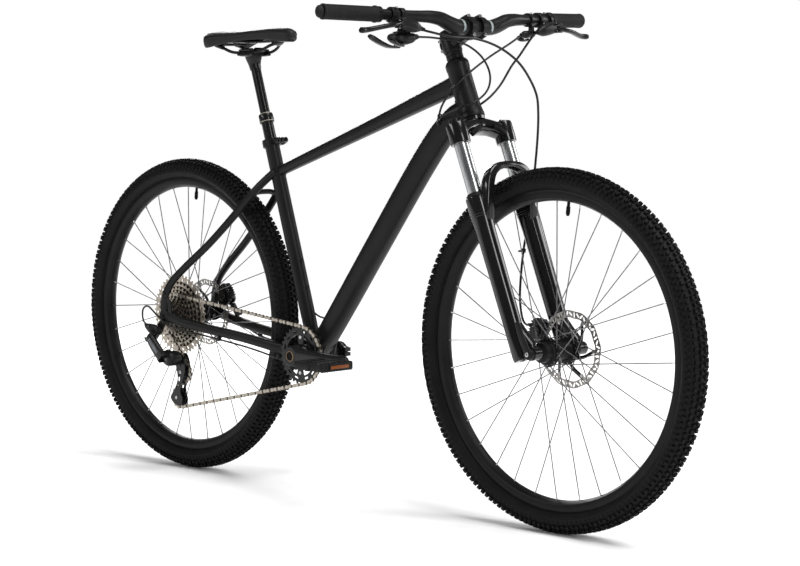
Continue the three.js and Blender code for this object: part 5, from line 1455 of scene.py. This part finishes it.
def make_brake_controls(side, name):
    perch = Piece(PLASTIC)
    on_bar(perch, side, [(11.2, 213), (15.4, 213), (16.2, 214), (16.2, 228), (15.4, 229), (11.2, 229)], 40)
    perch.tube([(at(349, side * 221, 1031), 7, 8), (at(358, side * 222, 1031), 7, 8),
                (at(366, side * 224, 1028), 8, 9)], side=Y, sides=24, square=0.7, per=4)
    perch.tube([(at(371, side * 176, 1016), 4.6, 5), (at(371, side * 182, 1017.4), 7, 8),
                (at(370, side * 192, 1019.6), 10.4, 12), (at(368, side * 210, 1023.4), 11.8, 13.2),
                (at(366, side * 226, 1026.4), 11.6, 12.6), (at(364, side * 236, 1028), 8.4, 8.6)], side=X,
               sides=36, square=0.72, per=6)
    perch.tube([(at(368, side * 196, 1031), 7.6, 2.6), (at(367, side * 208, 1034.2), 8.6, 2.8),
                (at(366, side * 222, 1036.6), 8, 2.4)], side=X, sides=28, square=0.55, per=4)
    for z in (1019.6, 1036.4):
        perch.box(at(374, side * 236, z - 1.8), (18, 13, 3.4))
    perch.use(BRIGHT)
    for y in (200, 218):
        perch.bolt(at(367, side * y, 1034.8 + (y - 200) * 0.14), Z, 2.1, 1.6)
    perch.rod(at(371, side * 234.5, 1015), at(371, side * 234.5, 1037), 2.2, sides=16)
    perch.bolt(at(349, side * 221, 1058.4), Z, 3.0, 1.6)
    perch.use(PAINTED_SHADE_AND_BLACK)
    perch.lathe([(2.5, 0), (4.8, 0), (4.8, 5), (3.8, 6), (3.2, 12), (2.5, 12)], at(371, side * 177, 1016.4),
                at(0.02, -side, -0.1), 20)
    perch.stand_for(f"brake_perch_{name}", "fork_upper", crease=34, bevel=0.5)

    lever = Piece(ENAMEL)
    lever.tube([(at(370, side * 232, 1026.4), 5.6, 4.6), (at(374, side * 243, 1024.6), 6.2, 4.9),
                (at(377.5, side * 256, 1022.2), 6.6, 4.8), (at(377, side * 276, 1019.2), 6.4, 4.7),
                (at(371.5, side * 298, 1015), 6.4, 4.9), (at(367, side * 316, 1011.6), 6.6, 5.2),
                (at(366.4, side * 328, 1010.2), 7, 5.8), (at(368.6, side * 335.4, 1010), 6.8, 6),
                (at(370.6, side * 340.6, 1010), 4.4, 4.2)], side=X, sides=30, square=0.8, per=6)
    lever.use(BRIGHT)
    lever.rod(at(371, side * 234.5, 1021), at(371, side * 234.5, 1031.6), 2.6, sides=16)
    lever.use(PAINTED_SHADE_AND_BLACK)
    for y in (282, 291):
        lever.rod(at(376.5, side * y, 1022.2 - (y - 282) * 0.2),
                  at(376.5, side * y, 1023.4 - (y - 282) * 0.2), 1.7, sides=14)
    lever.stand_for(f"brake_lever_{name}", f"brake_lever_{name}", crease=36)


def make_shifter():
    body = Piece(PLASTIC)
    on_bar(body, -1, [(11.2, 195.4), (14.6, 195.4), (15.2, 196), (15.2, 206), (14.6, 206.6), (11.2, 206.6)],
           40)
    body.tube([(at(342, -201, 1030), 6, 5), (at(341.6, -201, 1018), 6.6, 6), (at(341, -201, 1006), 9, 10)],
              side=X, sides=24, square=0.7, per=5)
    body.tube([(at(343, -167, 1001), 8, 5.4), (at(343, -174, 1000), 15, 8.6),
               (at(342.6, -184, 998), 20.4, 11.4), (at(342, -204, 996), 22, 13),
               (at(341.4, -218, 997.6), 19.6, 11), (at(341, -228, 999), 13, 7)], side=X, sides=40, square=0.8,
              per=7)
    body.tube([(at(342.6, -186, 1009.6), 12, 1.6), (at(342, -202, 1010), 13, 1.8),
               (at(341.6, -216, 1009), 10, 1.4)], side=X, sides=28, square=0.6, per=4)
    body.lathe([(0, 0), (5, 0), (5.6, 1), (5.6, 7), (5, 8), (5, 9), (5.6, 10), (5.6, 13.5), (4, 15),
                (3.2, 19.6), (0, 19.6)], at(341, -169, 1001), at(-0.08, 0.99, 0), 28, closed=False)
    for a in turns(12):
        body.box(at(340.6 + 5.7 * math.cos(a), -164, 1001 + 5.7 * math.sin(a)), (1.2, 6, 1.2), turned(Y, -a))
    body.use(BRIGHT)
    body.bolt(at(342, -196, 1011), Z, 2.4, 1.4)
    body.bolt(at(341.6, -212, 1010), Z, 2.4, 1.4)
    body.lathe([(3.6, 982.4), (6, 982.4), (6.4, 983.4), (6.4, 984.8), (3.6, 984.8)], at(334, -206, 0), Z, 28)
    body.stand_for("shifter_body", "fork_upper", crease=34, bevel=0.4)

    main = Piece(ENAMEL)
    main.tube([(at(332, -199, 979.4), 7, 2.2), (at(330, -208, 979.4), 11.6, 2.5),
               (at(325, -221, 981.2), 10.4, 3.2), (at(321.4, -234, 986), 9.6, 3.8),
               (at(319, -246, 991.6), 9.2, 4.2), (at(317.6, -257, 997.4), 8.8, 4.4),
               (at(317.2, -265.6, 1002), 5.4, 3.4)], side=X, sides=30, square=0.7, per=6)
    main.use(GRIP)
    for k in range(5):
        main.box(at(318.6, -246 - 3.4 * k, 993 + 1.9 * k), (12, 1.5, 1.7), turned(X, math.radians(-29)))
    main.stand_for("shift_lever_main", "shift_lever_main", crease=36)

    release = Piece(ENAMEL)
    release.tube([(at(354.6, -209, 981.3), 4, 1.8), (at(356.6, -216, 981.7), 6.8, 2),
                  (at(360.4, -231, 983.4), 6.2, 2.1), (at(362.6, -243, 988.4), 6.6, 2.3),
                  (at(363, -251, 993.4), 4.4, 1.9)], side=X, sides=28, square=0.7, per=6)
    release.stand_for("shift_lever_release", "shift_lever_release", crease=36)


def make_dropper_remote():
    body = Piece(ALLOY)
    on_bar(body, 1, [(11.2, 177), (14.2, 177), (14.8, 177.8), (14.8, 186.4), (14.2, 187.2), (11.2, 187.2)],
           36)
    body.tube([(at(347.6, 181.6, 1030), 6, 4), (at(348, 181.6, 1020), 7, 4.6), (at(348, 182, 1012), 8, 6.6)],
              side=X, sides=24, square=0.7, per=5)
    body.tube([(at(357.6, 144, 1010.4), 6, 6), (at(357, 152, 1011), 8.2, 8.2), (at(352.4, 168, 1012), 8, 7.8),
               (at(347.4, 186, 1012), 6.6, 5.6)], side=X, sides=28, square=0.8, per=6)
    body.lathe([(0, 0), (5, 0), (5.6, 1), (5.6, 5), (4.6, 6), (4.2, 10), (0, 10)], at(358, 146.6, 1010.4),
               at(0.05, -1, -0.06), 24, closed=False)
    body.use(BRIGHT)
    body.bolt(at(347.6, 181.6, 1056.6), Z, 2.6, 1.6)
    body.rod(at(347, 171, 1002), at(347, 171, 1006.4), 2.6, sides=16)
    body.stand_for("dropper_remote_body", "fork_upper", crease=34, bevel=0.4)

    lever = Piece(ALLOY)
    lever.tube([(at(350, 169.6, 1000.8), 4, 1.8), (at(345, 170, 1000.4), 7.6, 2),
                (at(333, 172, 999.2), 7.6, 2.3), (at(318, 180.4, 1002.2), 8.2, 2.5),
                (at(308, 191, 1006.2), 8, 2.6), (at(303.4, 197, 1008.2), 5, 2)], side=Y, sides=28, square=0.7,
               per=6)
    lever.use(GRIP)
    for k in range(4):
        lever.box(at(319 - 4 * k, 181.4 + 3.4 * k, 1005.4 + 1.25 * k), (1.5, 11, 1.5),
                  turned(Z, math.radians(-48)))
    lever.stand_for("dropper_remote_lever", "dropper_remote_lever", crease=36)


make_cockpit()
make_shifter()
make_dropper_remote()


# ------------------------------------------------------------------ seatpost and saddle
POST_TOP, POST_BOTTOM, SLIDER_TOP = 550, 300, 690
BEIGE = finish("seal_line", (0.34, 0.3, 0.24), (0.44, 0.4, 0.33), (0.4, 0.5), scale=120, grain=1500,
               bump=0.04)
POST = finish("post_gloss", tone(0.003), tone(0.005), (0.2, 0.28), metal=0.05, scale=20, grain=300, bump=0.02,
              coat=0.12, level=0.25)


def make_post():
    outer = Piece(POST)
    outer.lathe([(11.8, POST_BOTTOM), (13.4, POST_BOTTOM), (13.6, POST_BOTTOM + 1), (13.6, POST_TOP - 10),
                 (15.6, POST_TOP - 10), (16.8, POST_TOP - 8.6), (16.8, POST_TOP - 7)], BB, SEAT_UP, 48,
                closed=False)
    outer.lathe([(11.8, POST_TOP - 6), (16.8, POST_TOP - 6), (17, POST_TOP - 5.2), (16.4, POST_TOP + 8.8),
                 (15.6, POST_TOP + 11), (12.6, POST_TOP + 12.2), (11.8, POST_TOP + 12)], BB, SEAT_UP, 52)
    outer.use(BEIGE)
    outer.lathe([(11.8, POST_TOP - 7.1), (16.9, POST_TOP - 7.1), (16.9, POST_TOP - 6), (11.8, POST_TOP - 6)],
                BB, SEAT_UP, 48)
    outer.lathe([(11.6, POST_TOP + 11.9), (13.4, POST_TOP + 11.9), (12.8, POST_TOP + 13.2),
                 (11.6, POST_TOP + 13.2)], BB, SEAT_UP, 44)
    outer.stand_for("seatpost_outer", "seatpost", crease=34)

    slider = Piece(POST)
    slider.rod(seat(532), seat(SLIDER_TOP - 4), 11.3, sides=48)
    slider.use(ENAMEL)
    slider.tube([(seat(SLIDER_TOP - 22, -0.6), 11.7, 11.7), (seat(SLIDER_TOP - 10, -0.4), 12.8, 13.2),
                 (seat(SLIDER_TOP + 2, 0.6), 15.5, 17.6), (seat(SLIDER_TOP + 12, 1.6), 17.4, 20)], side=Y,
                sides=36, square=0.78, per=6)
    slider.box(at(-340, 0, 980.4), (42, 50, 5.4))
    for side in (-1, 1):
        slider.tube([(at(-366, side * 22, 980.6), 6.6, 3), (at(-352, side * 22, 980.4), 7.8, 4.4),
                     (at(-328, side * 22, 980.4), 7.8, 4.4), (at(-314, side * 22, 980.6), 6.6, 3)], side=Y,
                    sides=24, square=0.7, per=5)
        slider.tube([(at(-361, side * 22, 990.4), 6.2, 2.2), (at(-340, side * 22, 991.2), 7.4, 3.2),
                     (at(-319, side * 22, 990.4), 6.2, 2.2)], side=Y, sides=24, square=0.7, per=5)
    for x in (-361, -319):
        slider.rod(at(x, -14, 990.6), at(x, 14, 990.6), 5.6, sides=24)
    slider.use(BRIGHT)
    for x, lean in ((-361, 0.14), (-319, -0.1)):
        slider.rod(at(x, 0, 994), at(x + lean * 190, 0, 968), 2.4, sides=16)
        slider.bolt(at(x + lean * 170, 0, 971), at(lean * 1.2, 0, -1), 4.2, 5)
    slider.stand_for("seatpost_slider", "saddle", crease=34)


# (x, half width, height of the top, height of the skirt's edge)
SADDLE = [(-200.5, 3, 1023, 1017), (-203, 9, 1029, 1013), (-208.5, 13.6, 1033.4, 1010.4),
          (-218, 17.4, 1037, 1008.6), (-240, 20.6, 1039.6, 1009), (-275, 23.4, 1039.6, 1012.6),
          (-320, 30.4, 1037, 1013), (-362, 44.4, 1034.6, 1010), (-402, 60.4, 1035.2, 1003.4),
          (-426, 67.4, 1036.8, 998), (-441, 65.4, 1036.2, 997), (-450, 57, 1033, 999),
          (-456, 44, 1028, 1003.6), (-458.5, 27, 1021.6, 1009.6)]
SADDLE_ROOF = 1011.5
SADDLE_STEPS = 32


def saddle_section(wide, top, edge, groove):
    """Points round the pad: a crowned top with a shallow channel, then skirts that roll in under it."""
    middle = edge + (top - edge) * 0.46
    deep = middle - edge
    roof = max(edge + 1, SADDLE_ROOF)
    under = [(0, 1, middle), (0.12, 0.985, middle - deep * 0.42), (0.25, 0.95, middle - deep * 0.78),
             (0.38, 0.905, middle - deep * 0.97), (0.5, 0.86, edge), (0.6, 0.83, edge + 1),
             (0.72, 0.81, roof), (1, 0, roof)]
    points = []
    for k in range(SADDLE_STEPS):
        a = math.pi * k / SADDLE_STEPS
        y = wide * math.copysign(abs(math.cos(a)) ** 0.94, math.cos(a))
        s = math.sin(a)
        points.append((y, middle + (top - middle) * s ** 0.86 - groove * math.exp(-(y / 7.5) ** 2) * s))
    for k in range(SADDLE_STEPS):
        share = 1 - abs(1 - 2 * k / SADDLE_STEPS)
        (v0, y0, z0), (v1, y1, z1) = next((p, q) for p, q in zip(under, under[1:]) if share <= q[0])
        w = (share - v0) / (v1 - v0)
        points.append((wide * (y0 + (y1 - y0) * w) * (-1 if k < SADDLE_STEPS / 2 else 1), z0 + (z1 - z0) * w))
    return points


def make_saddle():
    path = catmull([(x, w, 0) for x, w, _, _ in SADDLE], 6)
    heights = catmull([(x, t, e) for x, _, t, e in SADDLE], 6)
    rings = []
    for place, height in zip(path, heights):
        share = min(1, max(0, (-225 - place.x) / 40)) * min(1, max(0, (place.x + 453) / 30))
        rings.append([at(place.x, y, z) for y, z in saddle_section(place.y, height.y, height.z, 4.2 * share)])
    pad = Piece(LEATHER)
    pad.rings(rings)
    skin = pad.stand_for("saddle_pad", "saddle", crease=70)
    smooth = skin.modifiers.new("smooth", "SUBSURF")
    smooth.levels = smooth.render_levels = 1

    trim = Piece(LEATHER)
    for side in (0, SADDLE_STEPS):
        for k0, lift in ((3, 0.25), (7, 0.2)):
            k = k0 if side == 0 else SADDLE_STEPS - k0
            line = [ring[k] + at(0, 0.4 * (1 if side == 0 else -1), lift) for ring in rings[5:-3]]
            trim.sweep(line, 0.75 if k0 == 3 else 0.55, 8)
    trim.make("saddle_seams", "saddle", (), crease=60)

    shell = Piece(PLASTIC)
    under = [(-209, 8), (-218, 12), (-240, 15), (-280, 17), (-320, 23), (-362, 35), (-402, 50), (-430, 57),
             (-444, 50), (-449, 34)]
    shell.tube([(at(x, 0, 1009.2), w, 2.6) for x, w in under], side=Y, sides=36, square=0.8, per=6)
    for x, w in ((-430, 44), (-405, 38), (-378, 28), (-262, 12)):
        shell.tube([(at(x, -w, 1006.4), 2, 2.2), (at(x, 0, 1004.6), 2, 2.6), (at(x, w, 1006.4), 2, 2.2)],
                   side=X, sides=14, square=0.6, per=6)
    for side in (-1, 1):
        shell.rod(at(-432, side * 34.6, 1004.6), at(-412, side * 31, 998.4), 6, sides=24)
        shell.tube([(at(-427, side * 34, 1008), 6.5, 5), (at(-421, side * 33, 1003), 5.6, 4.6)], side=Y,
                   sides=20, square=0.7, per=4)
    shell.tube([(at(-248, 0, 1008), 11, 3.6), (at(-257, 0, 1004), 13, 4.4), (at(-266, 0, 1004), 12, 3.6)],
               side=Y, sides=24, square=0.7, per=5)
    shell.stand_for("saddle_base", "saddle", crease=40)

    rails = Piece(ALLOY)
    route = [(-426, 34, 1002.6), (-408, 30, 995), (-394, 25, 988.6), (-380, 22, 985.7), (-340, 22, 985.5),
             (-308, 22, 985.6), (-296, 20.8, 988), (-280, 18, 994), (-268, 13.4, 1000), (-261, 8, 1002.8),
             (-258.6, 0, 1003.6)]
    line = catmull([*route, *[(x, -y, z) for x, y, z in reversed(route[:-1])]], 8)
    rails.sweep(line, 3.5, 20)
    rails.stand_for("saddle_rails", "saddle", crease=50)


make_post()
make_saddle()


# ------------------------------------------------------------------ cables and hoses
SHIFT_CABLE = [
    (339, -149, 1001), (334, -112, 1001), (333, -80, 999), (342, -50, 995), (356, -22, 985), (367, 10, 960),
    (379, 19, 927), (383, 10, 898), (378, -10, 877), (368, -30, 866), (346, -42, 858), (308, -37, 846),
    (284, -29, 837), (260, -18, 814), (225, -12, 765), (150, -10, 668), (0, -8, 478), (-68, -8, 374),
    (-94, -14, 322), (-118, -24, 281), (-150, -34, 276), (-205, -46, 293), (-300, -55, 312),
    (-420, -66, 328), (-520, -79, 341), (-565, -86, 352), (-600, -88, 372), (-632, -89, 390),
    (-650, -88, 382), (-653, -88, 365), (-646, -89, 351.5), (-633.5, -90, 345.2),
]
DROPPER_CABLE = [
    (358, 136, 1009), (360, 120, 1001), (356, 104, 991), (342, 65, 967), (340, 30, 948), (341, 4, 934),
    (336, -26, 912), (321, -38, 893), (306, -39, 874), (288, -32, 858), (268, -20, 836), (235, -4, 792),
    (150, 0, 684), (20, 0, 520), (-40, 0, 446), (-64, 0, 410), (-88, 0, 393), (-122, 0, 392),
    (-150, 0, 404),
]
REAR_HOSE = [
    (370, 183, 1018), (371, 170, 1014), (368, 160, 1004), (360, 152, 988), (349, 142, 966), (341, 128, 946),
    (338, 95, 905), (334, 64, 878), (322, 45, 862), (302, 36, 848), (282, 28, 834), (260, 18, 812),
    (225, 9, 764), (145, 8, 666), (0, 8, 478), (-68, 10, 374), (-92, 16, 322), (-116, 25, 281),
    (-150, 34, 276), (-210, 46, 294), (-300, 54, 311), (-400, 62, 325), (-450, 65, 342), (-478, 63, 364),
    (-492, 58, 387),
]
FRONT_HOSE = [
    (366, -183, 1017), (374, -150, 1010), (391, -100, 1000), (414, -60, 997), (438, -20, 981),
    (456, 20, 951), (463, 50, 914), (463, 70, 881), (458, 80, 850), (450, 88, 808), (436, 95, 734),
    (424, 97, 670), (416, 95, 615), (409, 90, 563), (407, 84, 511), (413, 74, 459), (430, 62, 424),
    (452, 48, 412), (478, 38, 411),
]
HOSE_RADIUS, CABLE_RADIUS = 2.5, 2.2


def make_line(name, route, radius, node):
    """A sleeved line along its route, made in world space and tied to no body."""
    path = catmull(route, 10)
    line = Piece(HOSE)
    line.sweep(path, radius, 16)
    piece = line.make(name, None, (node,), crease=60)
    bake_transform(piece)


make_line("shift_cable_sleeve", SHIFT_CABLE, CABLE_RADIUS, "shift_cable")
make_line("dropper_cable_sleeve", DROPPER_CABLE, CABLE_RADIUS,
          "dropper_cable")
make_line("rear_brake_line", REAR_HOSE, HOSE_RADIUS, "rear_brake_hose")
make_line("front_brake_line", FRONT_HOSE, HOSE_RADIUS,
          "front_brake_hose")


def make_ferrules():
    ends = Piece(BRIGHT)
    a, b = at(*SHIFT_CABLE[-1]), at(*SHIFT_CABLE[-2])
    way = (b - a).normalized()
    ends.lathe([(0, 0.4), (3, 0.4), (3, 9), (2.3, 10), (2.3, 0.5)], a, way, 20, closed=False)
    ends.make("rear_ferrule", "frame", (), crease=30)
    clip = Piece(PLASTIC)
    foot = at(409, 90, 560)
    clip.lathe([(2.6, -4), (4.6, -4), (4.6, 4), (2.6, 4)], foot, at(0.14, 0.05, 1), 20)
    clip.tube([(foot + at(-2, -3, 0), 2, 3.6), (foot + at(-4, -10, -1), 2, 4)], side=Z, sides=16, square=0.7,
              per=3)
    clip.make("front_hose_clip", "fork_lower", (), crease=32)


make_ferrules()
